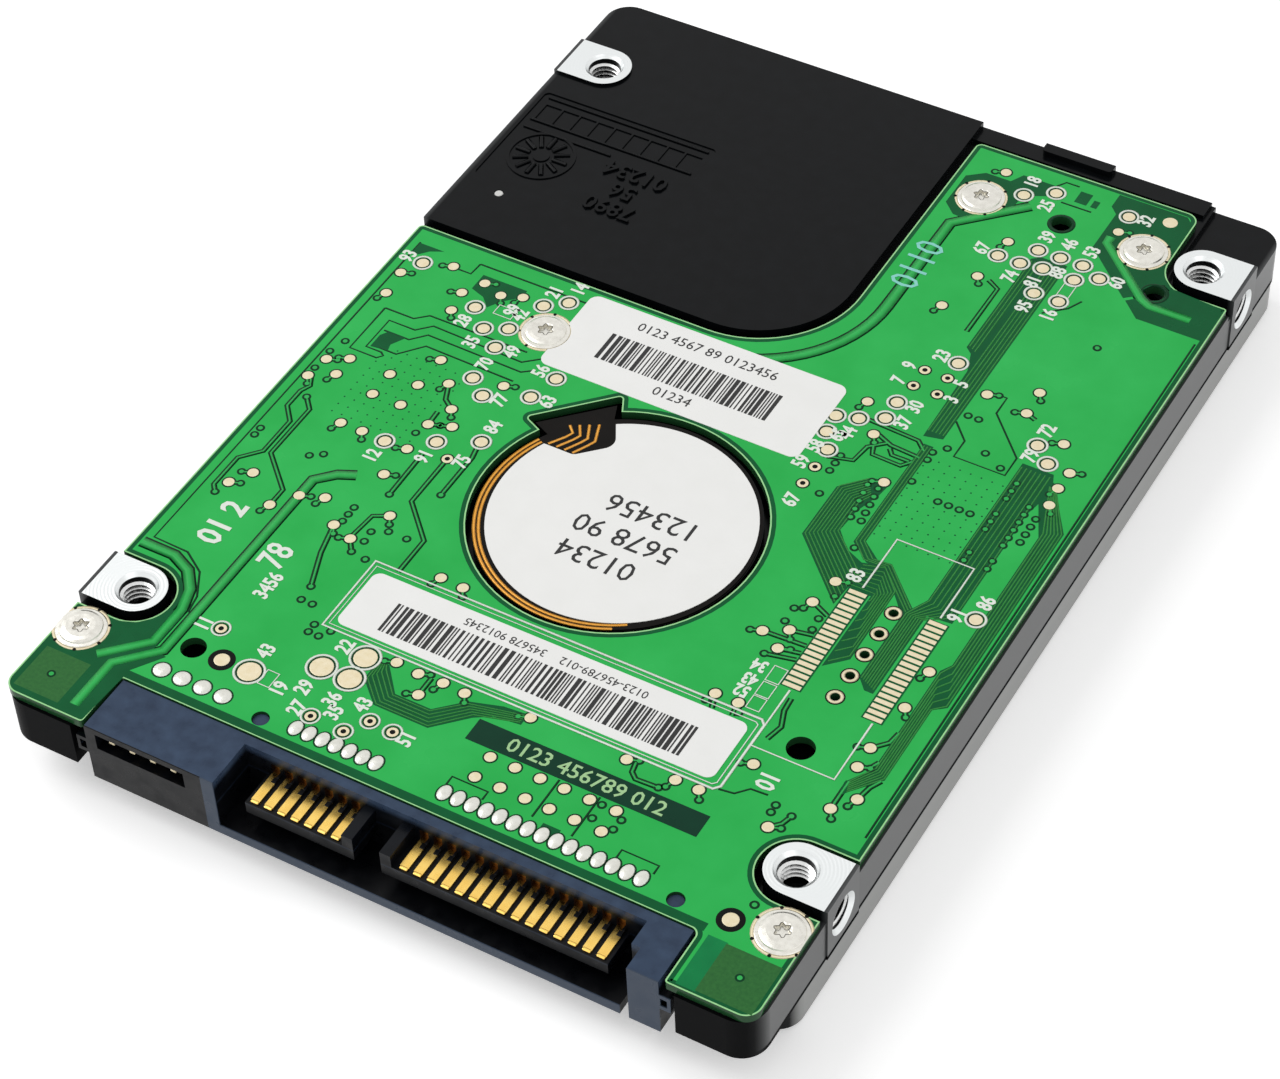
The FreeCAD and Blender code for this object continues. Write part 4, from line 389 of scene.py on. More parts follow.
def bars(bm, x0, x1, y0, y1, z, seed, high=0.012):
    """Upright bars of three widths between x0 and x1. They stand for no number."""
    draw = random.Random(seed)
    x = x0
    while x < x1:
        wide = NARROW_BAR * draw.choice((1, 1, 2, 3))
        bar(bm, x, min(x + wide, x1), y0, y1, z, z + high)
        x += wide + NARROW_BAR * draw.choice((1, 1, 2))


def oblong(x0, x1, y0, y1):
    """The four corners of a rectangle."""
    return [(x0, y0), (x1, y0), (x1, y1), (x0, y1)]


cover_print = bmesh.new()
strokes(cover_print, [oblong(-23, 23, -27, 24)], 0.3, 0.05, closed=True)
strokes(cover_print, [[(-23, -12), (23, -12)]], 0.3, 0.05)
bars(cover_print, -18, 18, -22, -16, 0.04, seed=5)
for row, text in enumerate(("0123", "4567", "8901")):
    figures(cover_print, text, 0, 14 - 9 * row, 4.5, 0.045)
# drawn face up, and turned over to lie under the drive
bmesh.ops.rotate(cover_print, cent=(0, 0, 0.045), matrix=Matrix.Rotation(math.pi, 3, "Y"),
                 verts=cover_print.verts)
piece("cover_print", cover_print, black_print)

# ---------------------------------------------------------------- circuit board
# Glass and epoxy laminate with a glossy green mask. The mask is bright over the copper
# and dark where the copper is etched away. The sawn edges show the laminate.
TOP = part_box("circuit_board")[1].z / MM
mask = finish("green_solder_mask", "3CC763", "1FAE48", 6.0, 0.22, bump=0.002, specular=0.12)
tree = mask.node_tree
shader = tree.nodes["Principled BSDF"]
slope = add(tree, "SeparateXYZ", {0: add(tree, "NewGeometry").outputs["Normal"]})
upright = add(tree, "Math", {0: slope.outputs["Z"]}, operation="ABSOLUTE")
edge = add(tree, "Math", {0: upright, 1: 0.5}, operation="LESS_THAN")
laminate = add(tree, "Mix", {"Factor": edge, "A": shader.inputs["Base Color"].links[0].from_socket,
                             "B": linear("1F4A29")}, data_type="RGBA")
feed(shader, {"Base Color": laminate})
dress(mask, "circuit_board")

# mask straight on laminate, where there is no copper: dark green
bare_mask = finish("mask_without_copper", "056436", "035129", 3.0, 0.26, specular=0.12)

# the copper stops short of the edge, which leaves a dark margin, and a pale strip along the edge is a painted
# highlight
SAWN, MARGIN = 0.13, 0.38
ROUND = 90    # a hole has fewer sides than this, and the outline has more


def thicken(bm, faces, high):
    """Raise flat faces into a thin plate, and give its upper points."""
    grown = bmesh.ops.extrude_face_region(bm, geom=faces)
    raised = [v for v in grown["geom"] if isinstance(v, bmesh.types.BMVert)]
    bmesh.ops.translate(bm, vec=(0, 0, high), verts=raised)
    return raised


def plate(bm, faces, high):
    """Keep only these flat faces of a mesh and make them a thin plate."""
    bmesh.ops.delete(bm, geom=[f for f in bm.faces if f not in faces], context="FACES")
    thicken(bm, list(bm.faces), high)
    bmesh.ops.recalc_face_normals(bm, faces=bm.faces)


rim = bmesh.new()
rim.from_mesh(NODES["circuit_board"].data)
bmesh.ops.scale(rim, vec=(1 / MM,) * 3, verts=rim.verts)
bmesh.ops.remove_doubles(rim, verts=rim.verts, dist=0.001)
below = [f for f in rim.faces if f.normal.z < 0.9 or f.calc_center_median().z < TOP - 0.01]
bmesh.ops.delete(rim, geom=below, context="FACES")
bmesh.ops.dissolve_limit(rim, angle_limit=0.001, verts=rim.verts, edges=rim.edges)
bmesh.ops.holes_fill(rim, edges=rim.edges, sides=ROUND)
sawn = bmesh.ops.inset_region(rim, faces=rim.faces, thickness=SAWN, use_boundary=True, use_even_offset=True)
outermost = set(sawn["faces"])
within = [f for f in rim.faces if f not in outermost]
margin = bmesh.ops.inset_region(rim, faces=within, thickness=MARGIN, use_boundary=True, use_even_offset=True)
middle = rim.copy()
rim.faces.index_update()
middle.faces.ensure_lookup_table()
plate(middle, {middle.faces[f.index] for f in margin["faces"]}, 0.004)
plate(rim, outermost, 0.002)
# a pale green strip round the top of the board's edge: a painted highlight
edge_highlight = finish("painted_edge_highlight", "B9EFAE", "86D484", 0.6, 0.3, specular=0.3)
piece("board_edge", rim, edge_highlight)
piece("board_margin", middle, bare_mask)

# ---------------------------------------------------------------- etched copper
# Copper tracks lie under the mask. Each is a light line between two dark etched gaps, and
# where many run side by side the ground between them is dark.
GAP, GAP_HIGH, COPPER = 0.17, 0.022, TOP + 0.012
# tracks seen through the mask: the green of the wide copper, with a finer grain
over_copper = finish("mask_over_tracks", "3FC364", "2CAB4E", 2.0, 0.24, specular=0.12)
# many fine tracks close together look olive
over_bundle = finish("mask_over_bundle", "3F9A48", "2C8239", 1.0, 0.28, specular=0.12)
# a narrow gap between two edges of copper looks darker than an open field
narrow_mask = finish("mask_in_narrow_gap", "064424", "042F18", 2.0, 0.3, specular=0.1)
gaps, narrow, tops, bundled = bmesh.new(), bmesh.new(), bmesh.new(), bmesh.new()


def patch(bm, points, z, high):
    """A thin flat plate with an outline of (x, y) points."""
    face = bm.faces.new([bm.verts.new((x, y, z)) for x, y in points])
    raised = thicken(bm, [face], high)
    sides = dict.fromkeys(f for v in raised for f in v.link_faces)
    bmesh.ops.recalc_face_normals(bm, faces=list(sides) + [face])


def track(paths, wide=0.2):
    """Tracks with a dark gap on either side."""
    strokes(narrow, paths, wide + 2 * GAP, TOP, high=GAP_HIGH)
    strokes(tops, paths, wide, COPPER, high=0.016)


def bundle(first, last, count):
    """Light lines spread evenly from one path to another with as many points."""
    for index in range(count):
        part = index / (count - 1)
        strokes(bundled, [[(ax + (bx - ax) * part, ay + (by - ay) * part)
                           for (ax, ay), (bx, by) in zip(first, last)]], 0.15, COPPER)


# no two layers end in one plane: where two outlines meet, one lies a little higher
OUTLINES = [
    # front left corner and the strip along the connector
    [(-34.4, -39.6), (-30.6, -39.6), (-28.9, -38.9), (-27.7, -37.6), (-27.1, -36.4), (-26, -36.4),
     (-26, -40.6), (-24.6, -40.9), (-26.4, -43.5), (27.3, -43.5), (27.3, -44.3), (-26.4, -44.3),
     (-26.7, -49.6), (-33.4, -49.6), (-34.4, -48.6)],
    # back right corner, on both sides of the hole there, and round the screw in the back left corner
    [(19.9, 46.8), (26.6, 46.8), (27.2, 46.2), (27.3, 40.4), (27.9, 38.6), (28.9, 37.7), (27.6, 37.2),
     (27, 36.1), (27.2, 35.4), (25.9, 34.3), (20.7, 39.2), (20.7, 44.2), (19.9, 45)],
    [(29.4, 37.4), (34.2, 37), (34.2, 32.4), (28, 32.4), (26.2, 34.1), (27.4, 35.2), (28.1, 35),
     (28.9, 35.5), (29.2, 36.2), (29, 36.9)],
    [(6.3, 38.6), (6.3, 42.7), (7.8, 43.9), (10.3, 43.9), (11, 45.2), (14.2, 45.2), (14.2, 43.6),
     (12.2, 42.6), (11.9, 39.6), (9.4, 37.2), (7.6, 37.4)],
    oblong(16.6, 17.8, 44, 45.6), oblong(18.2, 18.8, 44, 45),
    [(-33.3, 11.4), (-30.7, 11.4), (-31.9, 10.8), (-32.6, 10), (-33.3, 10)],
    [(-25.9, 10.4), (-21.3, 10.4), (-21.3, 9.4), (-22.6, 8.2), (-23.4, 6.9), (-24.4, 7.9), (-25.9, 8.4)],
    [(-29.4, 0.2), (-27.6, 0.2), (-28.4, -1.2), (-28.2, -2), (-29.9, -2.2), (-29.9, -0.6)],
    # the long band of tracks from the heads
    [(16.5, 35.2), (17.2, 35.8), (19.8, 35.8), (19.8, 11), (18.1, 10.6), (17.9, 19.5), (17.2, 21.6),
     (16.5, 22.2)],
    # tracks between the chips and the empty footprint
    [(16.6, 4.1), (18.3, 4.4), (18, 2.4), (17.2, 0), (17, -2.5), (18.5, -4.2), (20.3, -5), (22.5, -4.3),
     (24.3, -6.3), (24.4, -14.9), (22.7, -16.6), (22.7, -8), (20.6, -8), (20.4, -10.2), (14.4, -4.4),
     (14.4, 1.8)],
    [(18.6, 9.8), (19.5, 9.8), (19.5, -2.7), (21.3, -4.1), (22.6, -4), (26.3, -7.6), (25.9, -8.8),
     (24.3, -6.9), (22.2, -4.9), (20.6, -4.8), (18.6, -3.2)],
    [(27, 11.6), (29.9, 11.6), (30.7, 9.6), (31.7, 8.5), (31.3, 7.3), (30.3, 8.2), (29.9, 6.4),
     (29.9, -7.6), (27.7, -7.8), (27.7, -17.3), (26.9, -17.3), (25.9, -16.2), (25.9, -8.4), (27, -6.2)],
    [(30.3, 10.8), (33.6, 5.7), (33.6, -15.8), (32.6, -16.6), (32.6, -24.8), (30.6, -27.2), (30.1, -28),
     (29.9, -26.4), (31.3, -24.2), (31.3, -12.6), (31.9, -11.6), (31.9, 4.4), (29.9, 8.6)],
    # tracks that run under the front of the label
    [(-9.1, -33), (-8.1, -33), (-6, -35.4), (-2.6, -35.4), (-0.4, -33.3), (2.4, -32.4), (4.6, -32.2),
     (4.6, -33.4), (2.2, -33.7), (0.8, -34.6), (-1.8, -37.2), (-6.9, -37.2), (-9.1, -35.2)],
    oblong(11.3, 12.9, -42, -41.1),
]
for index, outline in enumerate(OUTLINES):
    patch(gaps, outline, TOP, 0.007 + 0.0015 * (index % 2))

bundle([(16.4, 3.9), (14.6, 2), (14.6, -4.2), (20.4, -9.9)],
       [(17.5, 2.2), (16.9, 1), (16.9, -2.7), (20.5, -6)], 9)
bundle([(20.5, -5.2), (22.3, -4.6), (24.2, -6.6), (24.2, -14.6), (22.9, -15.9)],
       [(20.5, -7.6), (22.9, -7.6), (22.9, -7.8), (22.9, -8.4), (22.8, -8.6)], 7)
bundle([(18.75, 9.6), (18.75, -3), (20.3, -4.6), (22.2, -4.5), (26, -8.2)],
       [(19.35, 9.6), (19.35, -2.7), (20.9, -4.2), (22.6, -4.1), (26.2, -7.7)], 3)
bundle([(27.15, 11.2), (27.15, -6.2), (26.1, -8.3), (26.1, -16.2)],
       [(29.75, 11.2), (29.75, -7), (27.5, -8.4), (27.5, -16.9)], 7)
bundle([(30.2, 10.2), (32.05, 5), (32.05, -11.6), (31.45, -12.8), (31.45, -24), (30.2, -26.2)],
       [(30.9, 9.9), (33.45, 5.6), (33.45, -15.7), (32.5, -16.6), (32.5, -24.7), (30.5, -27.2)], 6)
bundle([(16.7, 35), (16.7, 22.4)], [(17.4, 35), (17.4, 22)], 3)
bundle([(18.2, 35.4), (18.2, 11.4)], [(19.6, 35.4), (19.6, 11.4)], 5)
bundle([(-8.9, -33.2), (-8.9, -35), (-6.8, -37), (-1.9, -37), (0.7, -34.3), (4.4, -33.2)],
       [(-8.3, -33.1), (-8, -33.6), (-6.1, -35.6), (-2.6, -35.6), (-0.3, -33.5), (4.4, -32.4)], 5)

track([[(-22.2, -16.2), (-23.7, -16.9), (-25.2, -18.4), (-25.2, -40.4), (-28.2, -43.5), (-28.2, -48.6)],
       [(-33.9, -31.2), (-30.6, -31.2), (-28.6, -32.1), (-27.2, -33.8), (-26.5, -36), (-26.5, -40),
        (-29.8, -43.3)],
       [(21.6, 41.2), (21.6, 40.3), (27.4, 34.9), (28.4, 34.4), (32.3, 34.4)]], 0.9)
# a wide track bends round the deck
BEND_X, BEND_Y, BEND_R = -4.7, 23.6, 12.65
track([[(13.4, 41.6), (7.95, 36.2), (7.95, BEND_Y)] + ring(BEND_X, BEND_Y, BEND_R, 12, 0, -1.16)], 1.0)
track([
    [(-31.3, -10.2), (-30.2, -11.4), (-30.2, -17.4), (-26.8, -20.6), (-26.8, -22.4)],
    [(-32.3, -8), (-31.8, -8.9), (-32.2, -9.8), (-32.2, -11.9), (-30.9, -13.4), (-30.9, -17.5),
     (-32.4, -19.2), (-32.4, -22.8), (-31.8, -23.5)],
    [(-18.6, -11.4), (-18.5, -16.8)], [(-16.4, -10.9), (-16.4, -16.6), (-13, -20), (-13, -24)],
    [(-14.9, -8.4), (-14.6, -9.8), (-14.6, -14.8)], [(-21.2, -3), (-20.4, -4.8), (-19.4, -5.5)],
    [(-20.2, -6.4), (-20.1, -8.1)], [(-17.1, -18.9), (-18.4, -19.6), (-18.7, -22.6), (-17.7, -23.9)],
    [(-20.7, -22), (-19.9, -25.2), (-18.5, -28.8)], [(-4.3, -34.6), (-4.3, -32.6)],
    [(12.9, 10.2), (18, 9.9), (19, 9)], [(14.6, 9), (16.2, 8.3), (19, 8.1)],
    [(14.9, 7.6), (15.3, 6.6), (18, 6.5), (18.7, 7.4)], [(16.3, 7.9), (16.8, 7.3), (18.4, 7.3)],
    [(12, 4.6), (14.2, 5.2), (14.5, 7.2), (15.8, 8.4)], [(18.9, -10.8), (20.6, -11.6)],
    [(18.6, -14.4), (20.6, -14)], [(16.7, -15.5), (20.6, -15.3)], [(18.7, -16.6), (20.6, -16.2)],
    [(18, -17.6), (20.6, -17)], [(30.1, -22.4), (31.2, -21.2), (31.4, -20)],
    [(30.1, -24.6), (31, -24.2), (31.4, -23.4)], [(31.6, -27.5), (31.9, -26), (32.4, -25)],
    [(30.2, -29.3), (30.2, -26.2)], [(16.6, -23.2), (17.1, -24.7)], [(18.7, -23.2), (18.9, -24.6)],
    [(22.2, -20.8), (22.3, -22.2), (22.9, -23.8), (22.5, -25.4)],
    [(14.6, -32.4), (14.8, -33.4), (15.4, -33.9), (17.4, -33.8)], [(14.4, 30.9), (15.6, 30.2), (15.6, 24)],
    [(26.8, -33.2), (27.6, -32.4), (27.9, -31.4)], [(24.7, 17.2), (25.7, 16.8)],
])
strokes(narrow, [
    [(-33.3, 11.5), (-33.3, -30.3), (-29.8, -30.4), (-27.6, -31.8), (-26.2, -34.2), (-25.85, -36)],
    [(-26.9, 11.5), (-15.8, 11.5)], [(-28.4, 10), (-27, 10), (-26.9, 11.5)],
    [(-31.4, 2.6), (-28.4, 2.6), (-27.3, 3.6), (-17.2, 3.6)],
    [(-31.4, 2.6), (-31.4, -3.2), (-28.6, -3.2), (-28.2, -2.7), (-28.6, -2.4), (-30.2, -2.4), (-30.2, 1.4),
     (-27.5, 1.4), (-26.3, 2.6), (-17, 2.3), (-15.5, 3.6)],
    [(-29.9, 0.1), (-27.3, 0.1), (-26.1, 1.4), (-16.4, 1.2), (-15.5, 1.9)],
    [(-29.1, -2), (-27.3, -2), (-25.5, 0.1), (-16.4, -0.1)],
    [(20.7, 18.1), (22.4, 18.1), (22.4, 16), (26.3, 11.9), (26.3, 9.6), (21.5, 9.6), (21.5, 11.7),
     (19.8, 13.5)],
    [(10.2, -36.8), (10.2, -41)], [(13.9, -36.8), (13.9, -41.2)],
    [(21.6, -31.7), (22.9, -31.5), (23.8, -30.5), (25.3, -30.4)],
    [(2.6, -41.4), (2.6, -40.5), (5.9, -40.5), (5.9, -41.4)],
    [(18, -41.4), (18, -40.5), (21.3, -40.5), (21.3, -41.4)], [(33.9, 31.8), (33.9, -30.6)],
    [(14.3, 45.2), (14.9, 46.1), (16.2, 46.1)], [(18.6, 43.4), (15.6, 43.4)],
    [(22.9, 32.2), (22.2, 30.8), (20.4, 29.2)],
], 0.2, TOP, high=GAP_HIGH)
strokes(narrow, [ring(28.1, 36.1, 1.2, 28)], 0.62, TOP, high=0.024, closed=True)
strokes(narrow, [ring(16.9, 40.7, 1.1, 28)], 0.4, TOP, high=0.024, closed=True)
# small holes that carry heat through the board show as a grid of dark dots
for x0, x1, y0, y1 in ((19.7, 26.7, -1.6, 8.4), (-28.4, -20.4, -10.6, -1.6)):
    for i in range(int(x1 - x0) + 1):
        for j in range(int(y1 - y0) + 1):
            bmesh.ops.create_cone(gaps, cap_ends=True, segments=8, radius1=0.1, radius2=0.08, depth=0.012,
                                  matrix=Matrix.Translation((x0 + i, y0 + j, TOP)))
piece("etched_gaps", gaps, bare_mask)
piece("narrow_gaps", narrow, narrow_mask)
# over an inner layer of copper the mask is a middle green
over_inner = finish("mask_over_inner_copper", "16914F", "0A7340", 2.5, 0.26, specular=0.12)
inner = bmesh.new()
patch(inner, oblong(27.8, 29.5, -49.5, -44.4), TOP, 0.006)
piece("inner_copper", inner, over_inner)
piece("copper_tracks", tops, over_copper)
piece("track_bundles", bundled, over_bundle)

# ---------------------------------------------------------------- pads and vias
# Pads are copper left free of mask and tinned, cream coloured after soldering. Vias are
# plated holes under the mask: a dark ring round a light middle.
tinned = finish("tinned_pad", "FBF1D6", "EBD8A8", 0.5, 0.4, metallic=0.15, bump=0.008)
# test pads with a printed ring; the letter is the side that their number is on
RINGED = [(12.2, 42.7, "u"), (14.7, 44.3, "d"), (21.9, 44.4, "r"), (16.6, 36.5, "u"), (18.8, 36.5, "u"),
          (21, 36.5, "u"), (23, 35.6, "r"), (13.7, 34.2, "l"), (15.9, 34.2, "d"), (18, 34.5, "d"),
          (21.1, 34.4, "l"), (18.7, 31.2, "d"), (21.1, 31.2, "d"), (16.8, 20, "l"), (14.3, 13.2, "r"),
          (14.3, 11, "r"), (12.3, 9.9, "d"), (10.4, 9.3, ""), (10.6, 7.2, "d"), (11.7, 5.3, "u"),
          (27.2, 14.1, "u"), (28.9, 12.5, "l"), (31.4, -6.3, "u"), (-31.6, 9.2, "l"), (-17.2, 10.8, "u"),
          (-19, 9.4, "u"), (-24.3, 6.4, "d"), (-22.2, 4.4, "d"), (-20.2, 5.4, "u"), (-20, 2.8, "r"),
          (-13.2, 1.9, "l"), (-14, -1.1, "r"), (-19.7, -1.4, "u"), (-17.8, -2.9, "r"), (-14.9, -7.8, "u"),
          (-18.3, -9.6, "d"), (-22.3, -11.6, "d")]
# larger ringed pads, pads with a bore, plain round pads, and vias
LARGE = [(-10.2, -33.3, "l"), (-12.8, -35.8, "d"), (-10.1, -35.8, "d"), (-17.7, -39, "u")]
HOLED = [(14.6, 17.9), (16.8, 17.9), (14.6, 15.7), (16.9, 15.7), (11.7, 3), (11.7, 0.8), (-16.4, -10.9),
         (-22.4, -36.2), (-10.7, -40.6), (-7.5, -40.7), (-6.2, -38.8), (-4, -38.9)]
DROPS = [(13.7, 36.3), (13.3, 30.9), (9.4, 44.8), (21.9, 42.1), (12.2, 26), (24.6, 20), (24.7, 17.2),
         (20.7, 17.7), (12, 12.1), (14.3, 8.8), (29.1, 15.3), (31, 12.4), (30.9, 10.3), (31.1, 8.2),
         (17.7, 4.1), (19.4, -7.9), (18.8, -10.8), (18.6, -14.4), (16.7, -15.5), (18.7, -16.6),
         (30.6, -13.1), (30.6, -17.4), (30.1, -22.4), (30.1, -24.6), (31.6, -27.5), (30.2, -29.3),
         (22.8, -28.2), (26.8, -33.2), (16.6, -23.2), (18.7, -23.2), (4.9, -32.4), (13.8, -32.5),
         (18.2, -32.5), (20.3, -32.5), (-28.9, 10.1), (-25.2, 9.5), (-21.2, 9.5), (-23.1, 8.8),
         (-26.4, 7.5), (-32.7, 7.2), (-32.4, 4.3), (-26, 5.1), (-23.4, -0.8), (-16.8, -1), (-21.2, -3),
         (-19.3, -5.6), (-30.6, -4.4), (-32.4, -5.4), (-30.6, -6.6), (-32.7, -7.9), (-18.1, -7.4),
         (-20.1, -8.1), (-26.9, -11.5), (-24.7, -11.5), (-20.1, -11.5), (-20.2, -15), (-23.1, -19.7),
         (-17.1, -18.9), (-30.2, -20.1), (-31.4, -22), (-26.8, -22.6), (-20.7, -22), (-18.6, -22.7),
         (-25.2, -20.5), (-9.5, -22.9), (-7.3, -23), (-7.7, -32.5), (-5.5, -32.7), (-3.2, -32.6),
         (-1.1, -32.7), (-4.3, -34.6)]
NECKED = len(DROPS)
DROPS += [(x, y) for y in (-37.4, -39.7) for x in (4.2, 6.5, 8.8, 11, 13.3, 15.7)]
DROPS += [(x, y) for x in (-26.4, -23.5) for y in (-4.4, -7.2)]
VIAS = [(26.6, 27.4), (20.4, 14.6), (21.4, 14.6), (23.7, 11.2), (25.6, 10.2), (20.6, 10.2), (-32.2, -2.7),
        (-20.5, -9.5), (-27.1, -16.1), (-26.1, -15.4), (-16.2, -20.5), (-17.5, -21.2), (-17.4, -22.4),
        (-14.4, -20.5), (-16.2, -24.1), (-18.4, -30.4), (-17.3, -30.4), (-15.9, -32.2), (-14.3, -32.2),
        (-15.9, -33.1), (-14.9, -33.1), (29.5, -40.3), (14.4, -37.4), (14.4, -38.9), (16.5, -38),
        (16.4, -39.1), (17.8, -12.1), (17.8, -13.7), (-31.8, -46.8), (31.8, -46.8), (13.5, 0.4), (13, 5.2),
        (13, 4.2), (13, 3.2), (19.7, 9.2), (19.7, 8.2), (19.7, 5.3), (20.1, -9.4), (20.1, -12.2),
        (20.2, -13.5), (18, -17.6), (26.3, -31), (26.3, -31.8), (27.9, -31.4), (17.4, -33.8),
        (-32.7, -15.3), (-32.7, -16.2), (-31.3, -10.2), (-31.8, -23.5), (-18.5, -16.8), (-18.5, -28.8),
        (-14.6, -14.8), (-17.7, -23.9), (-32.7, -4.4), (-32.7, -6.8)]
VIAS += [(22.7 + i, 4.2) for i in range(4)] + [(-20.3, -19.5 - 0.9 * i) for i in range(3)]
VIAS += [(27.6, y) for y in (9.2, 8.2, 7.2, 5.2, 4.2, 3.2, 0.2, -0.8)]
VIAS += [(29.7, y) for y in (7.2, 6.2, 5.2, 4.2, 3.2, 2.2, 0.2, -0.8)]
VIAS += [(30.8, y) for y in (6.2, 5.2, 4.2, 3.2)]
VIAS += [(16.6 + 1.0 * (i % 2) + 0.12 * (i // 2), 3.2 - 1.0 * (i // 2)) for i in range(10)] + [(19, -3.8)]


def button(bm, x, y, r, z, high, segments=18):
    """A low round pad whose rim slopes."""
    bmesh.ops.create_cone(bm, cap_ends=True, segments=segments, radius1=r, radius2=r * 0.9, depth=high,
                          matrix=Matrix.Translation((x, y, z + high / 2)))


HALO, HALO_HIGH = 0.14, 0.016
VIA_R, VIA_OUTER_R, VIA_AWAY, VIA_TOP = 0.22, 0.42, 1.02, TOP + 0.014
pads, halos, middles = bmesh.new(), bmesh.new(), bmesh.new()
for spots, r in ((RINGED, 0.58), (LARGE, 1.02), (DROPS, 0.5), (HOLED, 0.5)):
    for spot in spots:
        button(pads, *spot[:2], r, COPPER, 0.02)
        button(halos, *spot[:2], r + HALO, TOP, HALO_HIGH)
# most drop pads have a via a millimetre away, joined by a short neck
for index, (x, y) in enumerate(DROPS[:NECKED]):
    way = math.radians((250, 300, 200, 20)[index % 4])
    vx, vy = x + VIA_AWAY * math.cos(way), y + VIA_AWAY * math.sin(way)
    strokes(halos, [[(x, y), (vx, vy)]], 0.5, TOP + 0.006)
    strokes(middles, [[(x, y), (vx, vy)]], 0.2, VIA_TOP)
    VIAS.append((vx, vy))
for x, y in VIAS:
    button(halos, x, y, VIA_OUTER_R, TOP, HALO_HIGH, 14)
    button(middles, x, y, VIA_R, VIA_TOP, 0.006, 12)
piece("pads", pads, tinned)
piece("pad_gaps", halos, narrow_mask)
piece("via_middles", middles, over_copper)

# the bores of the holed pads, and the dark rings round two mounting pads
hole_dark = finish("hole_shadow", "0C0E0C", "060706", 0.5, 0.6, specular=0.1)
MOUNT_PADS = [(28.6, -42.4), (-20.4, -39.0)]
bores, lands = bmesh.new(), bmesh.new()
for x, y in HOLED:
    button(bores, x, y, 0.24, TOP + 0.032, 0.004, 12)
for x, y in MOUNT_PADS:
    button(bores, x, y, 1.15, TOP, 0.018, 28)
for x, y in MOUNT_PADS + [(25.5, 45.4)]:
    button(lands, x, y, 0.68, TOP + 0.016, 0.02, 24)
# five plated holes down the middle of the empty footprint
PLATED_X, PLATED_Y, PLATED_STEP = 25.2, -8.8, 2.55
for y in (PLATED_Y - PLATED_STEP * i for i in range(5)):
    strokes(lands, [ring(PLATED_X, y, 0.56, 20)], 0.3, COPPER, high=0.036, closed=True)
    strokes(bores, [ring(PLATED_X, y, 0.76, 20)], 0.14, TOP + 0.004, closed=True)
piece("dark_bores", bores, hole_dark)
piece("round_lands", lands, tinned)

# ---------------------------------------------------------------- solder
# The connector's tails come up through the board and are soldered in one row. A chip's
# empty footprint has tinned lands, two columns of nineteen.
solder = finish("tin_solder", "F2F2EC", "D2D1C6", 0.5, 0.3, metallic=0.6, bump=0.02)
mounds = bmesh.new()
# x, half width and half length of each mound
TAILS = [(-24.1 + 2.0 * i, 0.76, 0.76) for i in range(4)]
PIN_STEP = 1.27
TAILS += [(-11.05 + PIN_STEP * i, 0.57, 0.78) for i in range(7)]
TAILS += [(2.92 + PIN_STEP * i, 0.57, 0.8) for i in range(15)]
outlines = bmesh.new()
ROW_Y, ROUND_GAP = -42.2, 0.13
for x, wide, long in TAILS:
    spread = Matrix.Diagonal((wide + ROUND_GAP, long + ROUND_GAP, 1, 1))
    mound = Matrix.Diagonal((wide, long, 0.2, 1))
    bmesh.ops.create_cone(outlines, cap_ends=True, segments=20, radius1=1, radius2=0.97, depth=0.02,
                          matrix=Matrix.Translation((x, ROW_Y, TOP + 0.006)) @ spread)
    bmesh.ops.create_uvsphere(mounds, u_segments=16, v_segments=8, radius=1,
                              matrix=Matrix.Translation((x, ROW_Y, TOP)) @ mound)
piece("solder_mounds", mounds, solder)
piece("solder_gaps", outlines, narrow_mask)
fingers, beds = bmesh.new(), bmesh.new()
FIRST_LAND, LAND_STEP, LANDS = -8.25, 0.63, 19
for x in (21.6, 28.9):
    bar(beds, x - 0.95, x + 0.95, -19.9, -7.95, TOP, TOP + HALO_HIGH, soft=0.005)
    for i in range(LANDS):
        y = FIRST_LAND - LAND_STEP * i
        bar(fingers, x - 0.8, x + 0.8, y - 0.21, y + 0.21, TOP, TOP + 0.034, soft=0.012)
piece("empty_footprint", fingers, tinned)
piece("footprint_gaps", beds, bare_mask)

# ---------------------------------------------------------------- silk print
# White epoxy ink is printed last: rings round the test pads, outlines of parts, a frame
# for the label, and plain figures beside the pads.
silk = finish("white_board_ink", "F7FBF4", "E4EEE0", 0.4, 0.5, specular=0.2)
ink = bmesh.new()
INK, INK_HIGH = TOP + 0.034, 0.02


def numbers(bm, text, x, y, size=1.85, turn=90):
    """Narrow bold figures, as a board maker prints them."""
    figures(bm, text, x, y, size, INK, turn=turn, high=INK_HIGH, bold=0.06, narrow=0.78)


SIDES = {"u": (0, 2.0), "d": (0, -2.0), "l": (-1.65, 0.2), "r": (1.65, 0.2)}
for spots, r, far in ((RINGED, 0.84, 1.0), (LARGE, 1.28, 1.25)):
    strokes(ink, [ring(x, y, r, 24) for x, y, side in spots], 0.24, INK, high=INK_HIGH, closed=True)
    # the numbers only go up in sevens and name no part
    for count, (x, y, side) in enumerate(spots):
        if side:
            dx, dy = SIDES[side]
            numbers(ink, str(10 + (count * 7 + int(10 * r)) % 86), x + dx * far, y + dy * far)
strokes(ink, [ring(x, y, 0.78, 20) for x, y in HOLED[-5:]], 0.2, INK, high=INK_HIGH, closed=True)
NUMBERED = [(-23.9, -36.4), (-14.5, -39.4), (-12.1, -40.4), (-9.2, -39.4), (-7.6, -37.6), (-2.6, -39),
            (10.4, 3), (11.8, -1.4), (-15.1, -10.6), (20.6, -6.5), (29.9, -6.6), (-21.1, 7.6)]
for count, (x, y) in enumerate(NUMBERED):
    numbers(ink, str(11 + 8 * count), x, y)
